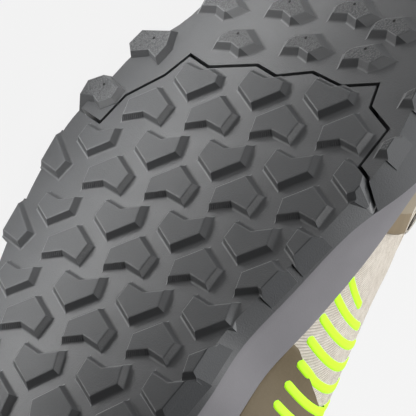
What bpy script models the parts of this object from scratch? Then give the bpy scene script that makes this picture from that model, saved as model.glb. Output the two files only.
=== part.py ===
# Low trail shoe for the right foot, lying on its inner side.
# Lugged rubber in two parts, foam sole, hollow upper with panels, tongue and lace.
# Shoe axes while it is shaped: x from heel to toe, y to the inner side, z up from the tread.
import math

import bmesh
import bpy
import numpy as np
from mathutils import Matrix, Vector

for old in list(bpy.data.objects):
    bpy.data.objects.remove(old, do_unlink=True)

MM = 0.001
LENGTH = 295.0          # heel to toe along the rubber
BALL_WIDTH = 112.0      # widest place of the rubber
INSTEP_HEIGHT = 104.0   # tread to the top of the lacing
TOE_SPRING = 9.0
SPRING_START = 258.0
HEEL_BEVEL = 4.0
BEVEL_END = 30.0
SPRING_LIMIT = 1.2      # curve of toe and heel goes on a little past the outline
STATIONS = 32           # sections from heel to toe
RIB_STEPS = 12          # steps up the upper
RIB_CROWD = 0.35        # closer steps where the upper turns over
CROWN_OUT = 8.0         # keeps the crown's direction steady where the topline is near
NUDGE = 0.01            # small step for slopes of the surfaces
GAP = 0.35              # glue line between curved pieces
WALL = 2.0              # upper wall
LIP_WIDTH = 2.4         # foam lip around the upper
LIP_HEIGHT = 4.0
LIP_FLARE = 0.9
DISH = 6.2              # rubber top under the foam
RUBBER_RIM = 3.0
DISH_SLOPE = 2.0
DISH_FOLLOW = 0.45
FLOOR_PLAIN = 4.0       # tread edge to outline away from the waist
EDGE_ROLL = (0.4, 0.42)  # rolled rubber edge: share of the inset, share of the height
FOAM_STEP = 0.5         # foam set back from the rubber
FOAM_WALL = ((0.3, 0.35), (0.72, 0.75))  # foam side: share of the inset, share of the height
INSOLE_THICK = 4.0
INSOLE_CLEAR = 1.0
INSOLE_SLOPE = 2.5      # edge leans in with the upper
PANEL_GAP = 0.5
PANEL_THICK = 0.8
TONGUE_THICK = 4.5

PITCH_ALONG = 21.34     # tread repeat
PITCH_ACROSS = 22.0
ROW_ZERO = 183.0
COLUMN_MID = 0.68
LUG_HEIGHT = 1.8
DRAFT_FRONT = 1.0
DRAFT_REAR = 1.4
LUG_ROOT = 5.5          # lug foot inside the rubber
SEAM_WIDTH = 1.1        # open joint between the two rubbers
EDGE_SMALL = 0.82       # lugs of the inner edge
SMALL_COLUMN = -1.0
FRONT_ROWS = 6.0
FRONT_COLUMNS = (-3.0, 5.0)
EDGE_REACH = {"outer": 5.0, "inner": 1.0}  # lug centres that far past the outline are kept and trimmed
SEAM_CLEAR = 2.5        # lug centres keep off the joint
REAR_ROWS = 12
REAR_COLUMNS = (-5, 6)
REAR_REACH = 5.0
TRIM_INSET = 0.8        # trimmed edge lugs: foot, lowest level and skin of the trimming side
TRIM_LOW = -2.5
TRIM_SKIN = 0.02
ZONE_FAR = 30.0         # blocks that part the two rubbers
ZONE_LEVELS = (-20.0, 60.0)

# Sole sections: place along, half widths as shares of the ball width, then millimetres
SOLE_COLUMNS = ("along", "inner", "outer", "floor_inner", "floor_outer", "rubber", "rim",
                "rim_inner", "rim_outer")
SOLE_ROWS = (
    (0.000, 0.000, 0.000, 4.0, 4.0, 13.0, 37.0, 4.0, 4.0),
    (0.020, 0.152, -0.156, 4.0, 4.0, 13.0, 37.0, 4.0, 4.0),
    (0.075, 0.277, -0.286, 4.0, 4.0, 12.5, 36.5, 4.5, 4.5),
    (0.153, 0.344, -0.362, 4.5, 4.0, 11.5, 35.5, 4.5, 5.0),
    (0.254, 0.350, -0.384, 6.5, 4.0, 11.5, 34.0, 3.5, 5.5),
    (0.373, 0.328, -0.411, 10.0, 4.0, 13.0, 31.0, 2.5, 6.0),
    (0.475, 0.342, -0.451, 13.0, 4.0, 14.5, 28.2, 2.0, 6.5),
    (0.542, 0.385, -0.487, 13.5, 3.6, 16.5, 26.0, 2.5, 7.0),
    (0.590, 0.434, -0.508, 7.5, 3.4, 16.8, 24.2, 3.5, 7.2),
    (0.627, 0.466, -0.518, 7.0, 3.2, 15.8, 22.2, 4.5, 7.4),
    (0.678, 0.484, -0.513, 3.8, 2.6, 11.0, 20.5, 5.0, 7.0),
    (0.729, 0.484, -0.470, 3.6, 2.2, 6.6, 20.0, 5.0, 4.0),
    (0.797, 0.460, -0.399, 3.4, 2.2, 6.6, 20.0, 4.0, 1.6),
    (0.847, 0.429, -0.3475, 3.4, 2.4, 6.8, 20.3, 3.5, 1.6),
    (0.898, 0.384, -0.327, 3.4, 2.8, 7.2, 21.0, 3.0, 2.2),
    (0.949, 0.320, -0.258, 3.4, 3.4, 8.6, 22.0, 3.0, 3.0),
    (0.983, 0.238, -0.135, 3.6, 3.6, 9.8, 22.6, 3.5, 3.5),
    (1.000, 0.060, 0.060, 3.8, 3.8, 10.2, 23.0, 3.5, 3.5),
)

# Upper ribs: topline point, then the rise from the sole and the crown at the top for each side
RIB_COLUMNS = ("along", "top_x", "top_half", "top_z", "ridge",
               "lean_outer", "rise_outer", "crown_outer", "drop_outer",
               "lean_inner", "rise_inner", "crown_inner", "drop_inner")
RIB_ROWS = (
    (0.00, 9.0, 0.0, 1.03, 0.0, 5.0, 26.0, -1.0, 20.0, 5.0, 26.0, -1.0, 20.0),
    (0.03, 12.0, 14.0, 1.02, 0.0, 4.5, 26.0, 0.0, 20.0, 4.5, 26.0, 0.0, 20.0),
    (0.10, 26.0, 25.5, 0.98, 0.0, 3.0, 26.0, 2.0, 20.0, 3.0, 26.0, 2.0, 20.0),
    (0.22, 56.0, 31.0, 0.88, 0.0, 1.0, 22.0, 3.0, 18.0, 1.0, 22.0, 3.0, 18.0),
    (0.33, 85.0, 31.5, 0.88, 0.5, 0.0, 24.0, 5.0, 18.0, 0.0, 24.0, 5.0, 18.0),
    (0.42, 108.0, 28.0, 0.98, 1.0, 0.0, 24.0, 9.0, 22.0, 0.0, 28.0, 7.0, 20.0),
    (0.50, 124.0, 23.5, 0.99, 2.5, -1.0, 18.0, 14.0, 24.0, 0.0, 28.0, 10.0, 18.0),
    (0.57, 142.0, 21.0, 0.905, 4.5, -2.0, 11.0, 20.0, 28.0, 0.0, 26.0, 12.0, 15.0),
    (0.66, 164.0, 19.0, 0.72, 9.5, -3.0, 5.0, 25.5, 32.0, 0.0, 23.0, 14.0, 10.0),
    (0.76, 185.0, 17.0, 0.628, 9.7, -0.5, 9.0, 32.0, 11.0, 0.5, 21.0, 18.0, 6.0),
    (0.86, 200.0, 13.5, 0.585, 10.5, 4.0, 37.0, 40.0, 4.0, 0.5, 20.0, 24.0, 4.0),
    (0.95, 208.5, 7.5, 0.566, 11.0, 5.0, 29.5, 48.5, -2.5, 1.0, 21.0, 38.0, 1.0),
    (1.00, 211.0, 0.0, 0.56, 11.0, 1.5, 21.0, 46.0, 0.0, 1.5, 21.0, 46.0, 0.0),
)

# Joint between the two rubbers, from beyond the inner edge to beyond the outer edge
SEAM_POINTS = ((190.5, 75.0), (196.6, 48.7), (199.4, 40.1), (190.4, 36.7), (182.9, 27.6), (176.0, 23.1),
               (178.9, 14.9), (176.6, -0.5), (179.1, -8.2), (176.7, -19.0), (179.7, -30.0), (177.8, -40.8),
               (184.5, -42.2), (189.9, -51.0), (201.1, -48.5), (207.0, -56.0), (212.0, -75.0))

# One front lug with its tip towards the toe and one rear lug: across, along
LUG_OUTLINE = ((-7.0, 1.2), (0.0, 5.7), (7.0, 1.2), (6.1, -3.4), (0.0, -1.7), (-6.1, -3.4))
REAR_OUTLINE = ((-3.9, 2.5), (-0.1, 0.95), (4.7, 1.2), (4.75, -1.0), (3.1, -2.25), (-2.6, -3.1),
                (-7.3, 0.3))
REAR_NEAR = ((192.3, 43.4), (174.0, 36.4), (171.0, 10.2), (170.1, -12.2), (171.3, -32.3), (181.0, -57.0),
             (195.5, -58.1), (160.5, 21.9), (159.9, -0.6), (158.7, -21.4), (162.4, -36.3))
REAR_WIDE = 1.2        # lugs of the rear part's inner edge
WIDE_FROM = 30.0
REAR_START = (149.0, 9.7)
REAR_PITCH = (12.2, 12.2)

# Panels on the upper: turns round the sole, then height above the lip along each panel, as shares
RIM_CLEAR = 0.5
TOE_GUARD_TURNS = (2.267, 4.05)
TOE_GUARD_EDGE = ((0.0, 0.03), (0.02, 0.15), (0.06, 0.34), (0.1, 0.50), (0.2, 0.54),
                  (0.5, 0.46), (0.8, 0.48), (0.9, 0.42), (0.95, 0.28), (1.0, 0.04))
REAR_GUARD_TURNS = (-1.99, 2.01)
REAR_GUARD_EDGE = ((0.0, 0.44), (0.1, 0.40), (0.3, 0.30), (0.5, 0.46),
                   (0.7, 0.30), (0.9, 0.40), (1.0, 0.46))
EYESTAY_TURN = 1.40
EYESTAY_WIDTH = 12.5
EYESTAY_EDGE = 1.0

THROAT_REACH = 9.0      # eyelet row to throat edge
THROAT_EDGE = 0.25      # share of an arch from eyelet row to throat edge
THROAT_END = 2.8
TONGUE_CLEAR = 0.65
TONGUE_BULGE = 4.0
TONGUE_FLAT = -0.6
TONGUE_GROW = 1.4       # bulge gained at each station from the front
TONGUE_TURNS = (2.50, 1.45)
TONGUE_STATIONS = 11
TONGUE_CROSS = 9
TONGUE_FRONT = (1.0, 0.0, -2.0)
TONGUE_END = ((8.0, 5.0, 0.97), (15.0, 12.0, 0.92), (20.0, 21.0, 0.84))
EYELET_SPAN = (122.0, 192.0)
EYELET_PAIRS = 5
LACE_WIDTH = 5.0
LACE_THICK = 1.6
LACE_BULGE = 2.8
LACE_CLEAR = 0.95
LACE_STEPS = 5
LACE_OVERRUN = 0.25     # bar past its eyelet, as a share of a step
SIDE_FACING = 0.7       # rest face looks this much to the inner side

# Colour and roughness of each kind of material
LOOKS = {
    "rubber": ((0.16, 0.165, 0.17), 0.62),
    "foam": ((0.22, 0.205, 0.235), 0.72),
    "textile": ((0.70, 0.65, 0.56), 0.88),
    "overlay": ((0.21, 0.175, 0.135), 0.58),
    "lining": ((0.33, 0.31, 0.29), 0.92),
    "cord": ((0.23, 0.21, 0.18), 0.85),
}


def columns(names, rows):
    return dict(zip(names, np.array(rows).T))


SOLE = columns(SOLE_COLUMNS, SOLE_ROWS)
RIBS = columns(RIB_COLUMNS, RIB_ROWS)


def smooth(knots, values, at):
    """Cubic through the rows, slopes from the neighbouring rows."""
    slopes = np.gradient(values, knots)
    low = np.clip(np.searchsorted(knots, at, side="right") - 1, 0, len(knots) - 2)
    step = knots[low + 1] - knots[low]
    t = (at - knots[low]) / step
    lift = t * t * (3 - 2 * t)
    rise = step * (slopes[low] * t * (1 - t) ** 2 - slopes[low + 1] * t * t * (1 - t))
    return values[low] * (1 - lift) + values[low + 1] * lift + rise


def turn_of(along):
    return np.arccos(np.clip(1 - 2 * along, -1, 1))


def sole(column, turn):
    """One sole column, or its inner and outer pair, at a turn round the outline."""
    turn = np.mod(turn, 2 * math.pi)
    folded = np.where(turn <= math.pi, turn, 2 * math.pi - turn)
    return table_value(SOLE, column, turn, folded)


def table_value(table, column, turn, folded):
    knots = turn_of(table["along"])
    if column in table:
        return smooth(knots, table[column], folded)
    outer = smooth(knots, table[column + "outer"], folded)
    inner = smooth(knots, table[column + "inner"], folded)
    return np.where(turn <= math.pi, outer, inner)


def ribs(column, turn):
    turn = np.mod(turn, 2 * math.pi)
    folded = np.where(turn <= math.pi, turn, 2 * math.pi - turn)
    return table_value(RIBS, column, turn, folded)


def outline(turn):
    x = LENGTH * (1 - np.cos(turn)) / 2
    return np.stack([x, BALL_WIDTH * sole("", turn)], -1)


def outline_normal(turn):
    ahead = outline(turn + NUDGE) - outline(turn - NUDGE)
    ahead /= np.linalg.norm(ahead, axis=-1, keepdims=True)
    return np.stack([ahead[..., 1], -ahead[..., 0]], -1)


def tread_rise(x):
    """Height of the tread plane: toe spring and heel bevel."""
    toe = np.clip((x - SPRING_START) / (LENGTH - SPRING_START), 0, SPRING_LIMIT) ** 2 * TOE_SPRING
    heel = np.clip((BEVEL_END - x) / BEVEL_END, 0, SPRING_LIMIT) ** 2 * HEEL_BEVEL
    return toe + heel


def sole_point(turn, inset, height):
    plan = outline(turn) - outline_normal(turn) * np.asarray(inset)[..., None]
    return np.concatenate([plan, (tread_rise(plan[..., 0]) + height)[..., None]], -1)


TURNS = np.arange(2 * STATIONS) * math.pi / STATIONS
ZERO = np.zeros_like(TURNS)


def upper_point(turn, share):
    """Outer face of the upper: share 0 in the sole's lip, 1 at the collar and throat."""
    base = sole_point(turn, sole("rim_", turn) + LIP_WIDTH + GAP, sole("rim", turn) - LIP_HEIGHT + GAP)
    side = np.where(np.mod(turn, 2 * math.pi) <= math.pi, -1.0, 1.0)
    top = np.stack([ribs("top_x", turn), side * ribs("top_half", turn) + ribs("ridge", turn),
                    INSTEP_HEIGHT * ribs("top_z", turn)], -1)
    normal = outline_normal(turn)
    away = (base - top)[..., :2] + CROWN_OUT * normal
    away /= np.linalg.norm(away, axis=-1, keepdims=True)
    first = base.copy()
    first[..., :2] += normal * ribs("lean_", turn)[..., None]
    first[..., 2] += ribs("rise_", turn) + LIP_HEIGHT
    second = top.copy()
    second[..., :2] += away * ribs("crown_", turn)[..., None]
    second[..., 2] -= ribs("drop_", turn)
    s = np.asarray(share)[..., None]
    rise = 3 * first * s * (1 - s) ** 2 + 3 * second * s * s * (1 - s)
    return base * (1 - s) ** 3 + rise + top * s ** 3


def upper_offset(turn, share, out):
    """Point of the upper moved along its own normal."""
    share = np.broadcast_to(share, np.shape(turn)).astype(float)
    low = np.clip(share - NUDGE, 0, 1 - 2 * NUDGE)
    round_way = upper_point(turn + NUDGE, share) - upper_point(turn - NUDGE, share)
    up_way = upper_point(turn, low + 2 * NUDGE) - upper_point(turn, low)
    normal = np.cross(round_way, up_way)
    normal /= np.linalg.norm(normal, axis=-1, keepdims=True)
    return upper_point(turn, share) + normal * np.asarray(out)[..., None]


MATERIALS = {}
PIECES = []


def material(name):
    if name not in MATERIALS:
        made = bpy.data.materials.new(name)
        made.use_nodes = True
        colour, roughness = LOOKS[name]
        sockets = made.node_tree.nodes["Principled BSDF"].inputs
        sockets["Base Color"].default_value = (*colour, 1)
        sockets["Roughness"].default_value = roughness
        sockets["Metallic"].default_value = 0.0
        MATERIALS[name] = made
    return MATERIALS[name]


def mesh_object(name, verts, faces, kind):
    mesh = bpy.data.meshes.new(name)
    mesh.from_pydata([tuple(v) for v in np.asarray(verts) * MM], [], faces)
    made = bpy.data.objects.new(name, mesh)
    bpy.context.collection.objects.link(made)
    mesh.materials.append(material(kind))
    tidy(made)
    return made


def tidy(made):
    """Flat triangles that face out."""
    bm = bmesh.new()
    bm.from_mesh(made.data)
    bmesh.ops.recalc_face_normals(bm, faces=bm.faces)
    bmesh.ops.triangulate(bm, faces=bm.faces, quad_method="BEAUTY", ngon_method="BEAUTY")
    bm.to_mesh(made.data)
    bm.free()


def piece(name, verts, faces, kind):
    made = mesh_object(name, verts, faces, kind)
    PIECES.append(made)
    return made


def ladder(start, count, flip):
    """Cap across a heel to toe loop, rung by rung."""
    half = count // 2
    faces = []
    for j in range(half):
        rung = [start + j, start + j + 1, start + (count - j - 1) % count, start + (count - j) % count]
        face = list(dict.fromkeys(rung))
        faces.append(face[::-1] if flip else face)
    return faces


def loft(rings):
    """Closed solid through rings, both ends capped."""
    count = len(rings[0])
    faces = ladder(0, count, True)
    for r in range(len(rings) - 1):
        for k in range(count):
            n = (k + 1) % count
            faces.append([r * count + k, r * count + n, (r + 1) * count + n, (r + 1) * count + k])
    faces += ladder((len(rings) - 1) * count, count, False)
    return np.concatenate(rings), faces


def shell(outer, inner, closed):
    """Solid between two grids of points: closed ones run round, open ones have ends."""
    rows, count = outer.shape[:2]
    verts = np.concatenate([outer.reshape(-1, 3), inner.reshape(-1, 3)])
    back = rows * count
    faces = []
    last = count if closed else count - 1
    for r in range(rows - 1):
        for k in range(last):
            n = (k + 1) % count
            quad = [r * count + k, r * count + n, (r + 1) * count + n, (r + 1) * count + k]
            faces.append(quad)
            faces.append([back + i for i in quad[::-1]])
    for k in range(last):
        n = (k + 1) % count
        top = (rows - 1) * count
        faces.append([n, k, back + k, back + n])
        faces.append([top + k, top + n, back + top + n, back + top + k])
    if not closed:
        for r in range(rows - 1):
            low, high = r * count, (r + 1) * count
            faces.append([low, high, back + high, back + low])
            low, high = low + count - 1, high + count - 1
            faces.append([high, low, back + low, back + high])
    return verts, faces


def boolean(target, cutter, operation):
    """Cut, keep or add, then drop the cutter."""
    step = target.modifiers.new(operation, "BOOLEAN")
    step.operation = operation
    step.solver = "EXACT"
    step.object = cutter
    bpy.context.view_layer.update()
    result = bpy.data.meshes.new_from_object(target.evaluated_get(bpy.context.evaluated_depsgraph_get()))
    target.modifiers.clear()
    target.data = result
    bpy.data.objects.remove(cutter, do_unlink=True)


def widened(points, reach):
    """Mitred outline, each edge moved out by the reach."""
    corners = np.asarray(points, float)
    before = corners - np.roll(corners, 1, axis=0)
    after = np.roll(corners, -1, axis=0) - corners
    out_before = np.stack([before[:, 1], -before[:, 0]], -1) / np.linalg.norm(before, axis=1)[:, None]
    out_after = np.stack([after[:, 1], -after[:, 0]], -1) / np.linalg.norm(after, axis=1)[:, None]
    lean = 1 + np.sum(out_before * out_after, axis=1)
    return corners + reach * (out_before + out_after) / lean[:, None]


def lug(place, points, draft):
    """One drafted lug whose upright foot is inside the rubber."""
    top = np.asarray(points)
    foot = widened(top, draft)
    rings = []
    for plan, level in ((top, 0.0), (foot, LUG_HEIGHT), (foot, LUG_ROOT)):
        spot = plan + np.asarray(place)
        rings.append(np.column_stack([spot, tread_rise(spot[:, 0]) + level]))
    count = len(top)
    faces = [list(range(count)), list(range(3 * count - 1, 2 * count - 1, -1))]
    for low in (0, count):
        for k in range(count):
            n = (k + 1) % count
            faces.append([low + k, low + n, low + count + n, low + count + k])
    return np.concatenate(rings), faces


def joined(name, solids, kind):
    verts, faces, start = [], [], 0
    for part_verts, part_faces in solids:
        verts.append(part_verts)
        faces += [[i + start for i in face] for face in part_faces]
        start += len(part_verts)
    return mesh_object(name, np.concatenate(verts), faces, kind)


def seam_x(y):
    """Place of the joint on a line across, taken as the mean of its crossings."""
    points = np.array(SEAM_POINTS)
    low = np.minimum(points[:-1, 1], points[1:, 1])
    high = np.maximum(points[:-1, 1], points[1:, 1])
    hits = []
    for i in np.nonzero((low <= y) & (y <= high))[0]:
        near, far = points[i], points[i + 1]
        hits.append(near[0] + (y - near[1]) / (far[1] - near[1]) * (far[0] - near[0]))
    return float(np.mean(hits)) if hits else float(points[0, 0])


def inside(place, margin):
    """Is a place on the tread, with a margin to the outline."""
    x, y = place
    if not 0 < x < LENGTH:
        return False
    turn = float(turn_of(x / LENGTH))
    return BALL_WIDTH * sole("", turn) + margin < y < BALL_WIDTH * sole("", 2 * math.pi - turn) - margin


def plan_of(points, scale):
    """Corners along and across from a lug outline."""
    return np.array([(along, across) for across, along in points]) * np.asarray(scale)


def front_lugs():
    solids = []
    for row in np.arange(0.0, FRONT_ROWS, 0.5):
        offset = row % 1
        for column in np.arange(*FRONT_COLUMNS) + offset:
            place = (ROW_ZERO + row * PITCH_ALONG, (COLUMN_MID - column) * PITCH_ACROSS)
            reach = EDGE_REACH["outer" if place[1] < 0 else "inner"]
            if place[0] < seam_x(place[1]) + SEAM_CLEAR or not inside(place, -reach):
                continue
            scale = EDGE_SMALL if column == SMALL_COLUMN else 1.0
            facing = -scale if offset else scale
            solids.append(lug(place, plan_of(LUG_OUTLINE, (facing, facing)), DRAFT_FRONT))
    return solids


def rear_lugs():
    places = list(REAR_NEAR)
    for row in range(REAR_ROWS):
        for column in range(*REAR_COLUMNS):
            if (row + column) % 2 == 0:
                places.append((REAR_START[0] - row * REAR_PITCH[0], REAR_START[1] + column * REAR_PITCH[1]))
    solids = []
    for place in places:
        turn = float(turn_of(max(place[0], 1.0) / LENGTH))
        margin = sole("floor_", turn if place[1] < 0 else 2 * math.pi - turn)
        if inside(place, margin - REAR_REACH):
            wide = REAR_WIDE if place[1] > WIDE_FROM else 1.0
            solids.append(lug(place, plan_of(REAR_OUTLINE, (1.0, wide)), DRAFT_REAR))
    return solids


def zone(front):
    """Upright block on one side of the joint."""
    line = np.array(SEAM_POINTS)
    far = LENGTH + ZONE_FAR if front else -ZONE_FAR
    ends = [(far, line[-1][1]), (far, line[0][1])]
    points = np.concatenate([line, ends])
    if not front:
        points = points[::-1]
    points = widened(points, -SEAM_WIDTH / 2)
    count = len(points)
    verts = np.concatenate([np.column_stack([points, np.full(count, level)]) for level in ZONE_LEVELS])
    faces = [list(range(count))[::-1], list(range(count, 2 * count))]
    for k in range(count):
        n = (k + 1) % count
        faces.append([k, n, count + n, count + k])
    return mesh_object("zone", verts, faces, "rubber")


def dish_inset():
    """Foot of the dish wall, further in where the waist is cut back."""
    return RUBBER_RIM + DISH_SLOPE + DISH_FOLLOW * np.clip(sole("floor_", TURNS) - FLOOR_PLAIN, 0, None)


def rubber_base():
    """Rubber slab with rolled edge and a dish for the foam."""
    floor_in = sole("floor_", TURNS)
    line = sole("rubber", TURNS)
    rings = [sole_point(TURNS, floor_in, ZERO + LUG_HEIGHT),
             sole_point(TURNS, EDGE_ROLL[0] * floor_in, LUG_HEIGHT + EDGE_ROLL[1] * (line - LUG_HEIGHT)),
             sole_point(TURNS, ZERO, line),
             sole_point(TURNS, ZERO + RUBBER_RIM, line),
             sole_point(TURNS, dish_inset(), ZERO + DISH)]
    return loft(rings)


def lug_bounds():
    """Sloping side that trims the lugs of the edge."""
    floor_in = sole("floor_", TURNS) + TRIM_INSET
    line = sole("rubber", TURNS)
    rings = [sole_point(TURNS, floor_in * (1 - TRIM_LOW / line), ZERO + TRIM_LOW),
             sole_point(TURNS, ZERO + TRIM_SKIN, line)]
    return mesh_object("bounds", *loft(rings), "rubber")


def outsole(name, front):
    verts, faces = rubber_base()
    made = piece(name, verts, faces, "rubber")
    lugs = joined("lugs", front_lugs() if front else rear_lugs(), "rubber")
    boolean(lugs, lug_bounds(), "INTERSECT")
    boolean(made, lugs, "UNION")
    boolean(made, zone(front), "INTERSECT")
    tidy(made)


def midsole():
    """Foam between rubber and upper, with a lip round the upper."""
    line = sole("rubber", TURNS) + GAP
    rim = sole("rim", TURNS)
    rim_in = sole("rim_", TURNS)
    wall = [sole_point(TURNS, inset * rim_in, line + height * (rim - line)) for inset, height in FOAM_WALL]
    rings = [sole_point(TURNS, dish_inset() + GAP, ZERO + DISH + GAP),
             sole_point(TURNS, ZERO + RUBBER_RIM + GAP, line),
             sole_point(TURNS, ZERO + FOAM_STEP, line),
             *wall,
             sole_point(TURNS, rim_in, rim),
             sole_point(TURNS, rim_in + LIP_WIDTH - LIP_FLARE, rim),
             sole_point(TURNS, rim_in + LIP_WIDTH, rim - LIP_HEIGHT)]
    piece("midsole", *loft(rings), "foam")


def insole():
    inset = sole("rim_", TURNS) + LIP_WIDTH + GAP + WALL + INSOLE_CLEAR
    floor = sole("rim", TURNS) - LIP_HEIGHT + GAP
    rings = [sole_point(TURNS, inset, floor), sole_point(TURNS, inset + INSOLE_SLOPE, floor + INSOLE_THICK)]
    piece("insole", *loft(rings), "lining")


def upper():
    even = np.linspace(0, 1, RIB_STEPS + 1)
    shares = even + RIB_CROWD * np.sin(2 * math.pi * even) / (2 * math.pi)
    turn, share = np.meshgrid(TURNS, shares)
    outer = upper_offset(turn, share, 0 * turn)
    inner = upper_offset(turn, share, 0 * turn - WALL)
    inner[0, :, 2] = outer[0, :, 2]
    piece("upper", *shell(outer, inner, True), "textile")


def rib_length(turn):
    """Length of the upper from sole to topline at a turn."""
    turn = np.asarray(turn, float)
    points = np.stack([upper_point(turn, np.full(turn.shape, share)) for share in np.linspace(0, 1, 17)])
    return np.linalg.norm(np.diff(points, axis=0), axis=-1).sum(0)


def share_above_rim(turn, clear):
    """Share at which the upper stands clear of the foam lip."""
    shares = np.linspace(0, 0.6, 121)
    grid = np.stack([upper_point(turn, np.full(np.shape(turn), share)) for share in shares])
    lip = sole_point(turn, sole("rim_", turn), sole("rim", turn))[..., 2] + clear
    return shares[np.argmax(grid[..., 2] >= lip, axis=0)]


def overlay(name, turns, low, high, steps, kind):
    """Thin panel laid on the upper between two shares."""
    part = np.linspace(0, 1, steps + 1)[:, None]
    share = low * (1 - part) + high * part
    turn = np.broadcast_to(turns, share.shape)
    outer = upper_offset(turn, share, np.full(share.shape, PANEL_GAP + PANEL_THICK))
    inner = upper_offset(turn, share, np.full(share.shape, PANEL_GAP))
    piece(name, *shell(outer, inner, False), kind)


def panel_turns(ends, extra):
    """Turns of a panel: its ends, the upper's stations between them and where its edge bends."""
    step = math.pi / STATIONS
    stations = np.arange(math.ceil(ends[0] / step), math.floor(ends[1] / step) + 1) * step
    turns = np.array([ends[0], *extra, ends[1]])
    spare = [t for t in stations if np.abs(turns - t).min() > 0.02]
    return np.sort(np.concatenate([turns, spare]))


def guard(name, ends, edge, steps):
    """Panel that rises from the lip."""
    knots, heights = np.array(edge).T
    bends = ends[0] + (ends[1] - ends[0]) * knots
    turns = panel_turns(ends, bends[1:-1])
    low = share_above_rim(turns, RIM_CLEAR)
    overlay(name, turns, low, low + np.interp(turns, bends, heights), steps, "overlay")


def eyestay():
    turns = panel_turns((EYESTAY_TURN, 2 * math.pi - EYESTAY_TURN), ())
    length = rib_length(turns)
    overlay("eyestay", turns, 1 - EYESTAY_WIDTH / length, 1 - EYESTAY_EDGE / length, 2, "overlay")


def grid_normals(points):
    along = np.gradient(points, axis=0)
    across = np.gradient(points, axis=1)
    normal = np.cross(along, across)
    return normal / np.linalg.norm(normal, axis=-1, keepdims=True)


def throat_arch(turn, across, out, bulge):
    """Points of the arch over the throat, from one eyelet row at 0 to the other at 1."""
    turn = np.asarray(turn, float)
    across = np.asarray(across, float)
    reach = THROAT_REACH / rib_length(turn)
    out = np.full(turn.shape, out)
    sides = []
    edge = THROAT_EDGE
    for side, depth in ((turn, 1 - across / edge), (2 * math.pi - turn, 1 - (1 - across) / edge)):
        sides.append(upper_offset(side, 1 - reach * np.clip(depth, 0, 1), out))
    w = np.clip((across - edge) / (1 - 2 * edge), 0, 1)[:, None]
    arch = sides[0] * (1 - w) + sides[1] * w
    arch[:, 2] += (bulge * 4 * w * (1 - w))[:, 0]
    return arch


def tongue():
    """Padded tongue under the throat, standing out above the collar."""
    under = -(WALL + TONGUE_CLEAR)
    cross = np.linspace(0, 1, TONGUE_CROSS)
    stations = np.linspace(*TONGUE_TURNS, TONGUE_STATIONS)
    bulge = np.minimum(TONGUE_BULGE, TONGUE_FLAT + TONGUE_GROW * np.arange(TONGUE_STATIONS))
    rows = [throat_arch(0 * cross + turn, cross, under, lift) for turn, lift in zip(stations, bulge)]
    front = rows[0][0] + (rows[0][-1] - rows[0][0]) * cross[:, None]
    front += np.array(TONGUE_FRONT)
    rows.insert(0, front)
    last = rows[-1]
    middle = last.mean(0)
    for back, up, narrow in TONGUE_END:
        row = middle + (last - middle) * np.array([1.0, narrow, narrow])
        rows.append(row + np.array([-back, 0.0, up]))
    top = np.array(rows)
    normal = grid_normals(top)
    normal *= np.sign(normal[len(rows) // 2, TONGUE_CROSS // 2, 2])
    piece("tongue", *shell(top, top - normal * TONGUE_THICK, False), "textile")


def lace_bar(start, end, flip):
    """Flat bar over the throat between two eyelet stations."""
    steps = np.linspace(0, 1, LACE_STEPS)
    turn = start * (1 - steps) + end * steps
    place = 1 - steps if flip else steps
    out = PANEL_GAP + PANEL_THICK + LACE_CLEAR + LACE_THICK / 2
    path = throat_arch(turn, place, out, LACE_BULGE)
    normal = throat_arch(turn, place, out + 1.0, LACE_BULGE) - path
    first = path[0] + (path[0] - path[1]) * LACE_OVERRUN
    last = path[-1] + (path[-1] - path[-2]) * LACE_OVERRUN
    path = np.concatenate([[first], path[1:-1], [last]])
    ahead = np.gradient(path, axis=0)
    ahead /= np.linalg.norm(ahead, axis=1)[:, None]
    side = np.cross(ahead, normal)
    side /= np.linalg.norm(side, axis=1)[:, None]
    normal = np.cross(side, ahead)
    corners = [path + side * a * LACE_WIDTH / 2 + normal * b * LACE_THICK / 2
               for a, b in ((-1, -1), (1, -1), (1, 1), (-1, 1))]
    verts = np.stack(corners, 1).reshape(-1, 3)
    faces = [[3, 2, 1, 0], [len(verts) - 4 + i for i in range(4)]]
    for r in range(len(path) - 1):
        for k in range(4):
            n = (k + 1) % 4
            faces.append([4 * r + k, 4 * r + n, 4 * r + 4 + n, 4 * r + 4 + k])
    return verts, faces


def eyelet_stations():
    """Turns whose throat points are evenly spaced along the lacing."""
    turns = np.linspace(EYESTAY_TURN, THROAT_END, 60)
    return np.interp(np.linspace(*EYELET_SPAN, EYELET_PAIRS), ribs("top_x", turns), turns)


def lace():
    stations = eyelet_stations()
    made = piece("lace", *lace_bar(stations[-1], stations[-1], False), "cord")
    for low, high in zip(stations[:-1], stations[1:]):
        for flip in (False, True):
            boolean(made, mesh_object("bar", *lace_bar(low, high, flip), "cord"), "UNION")
    tidy(made)


def weight_centre():
    """Centre of all the pieces, by volume."""
    total, moment = 0.0, Vector()
    for made in PIECES:
        bm = bmesh.new()
        bm.from_mesh(made.data)
        bmesh.ops.triangulate(bm, faces=bm.faces)
        for face in bm.faces:
            a, b, c = (v.co for v in face.verts)
            volume = a.dot(b.cross(c)) / 6
            total += volume
            moment += volume * (a + b + c) / 4
        bm.free()
    return moment / total


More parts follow.
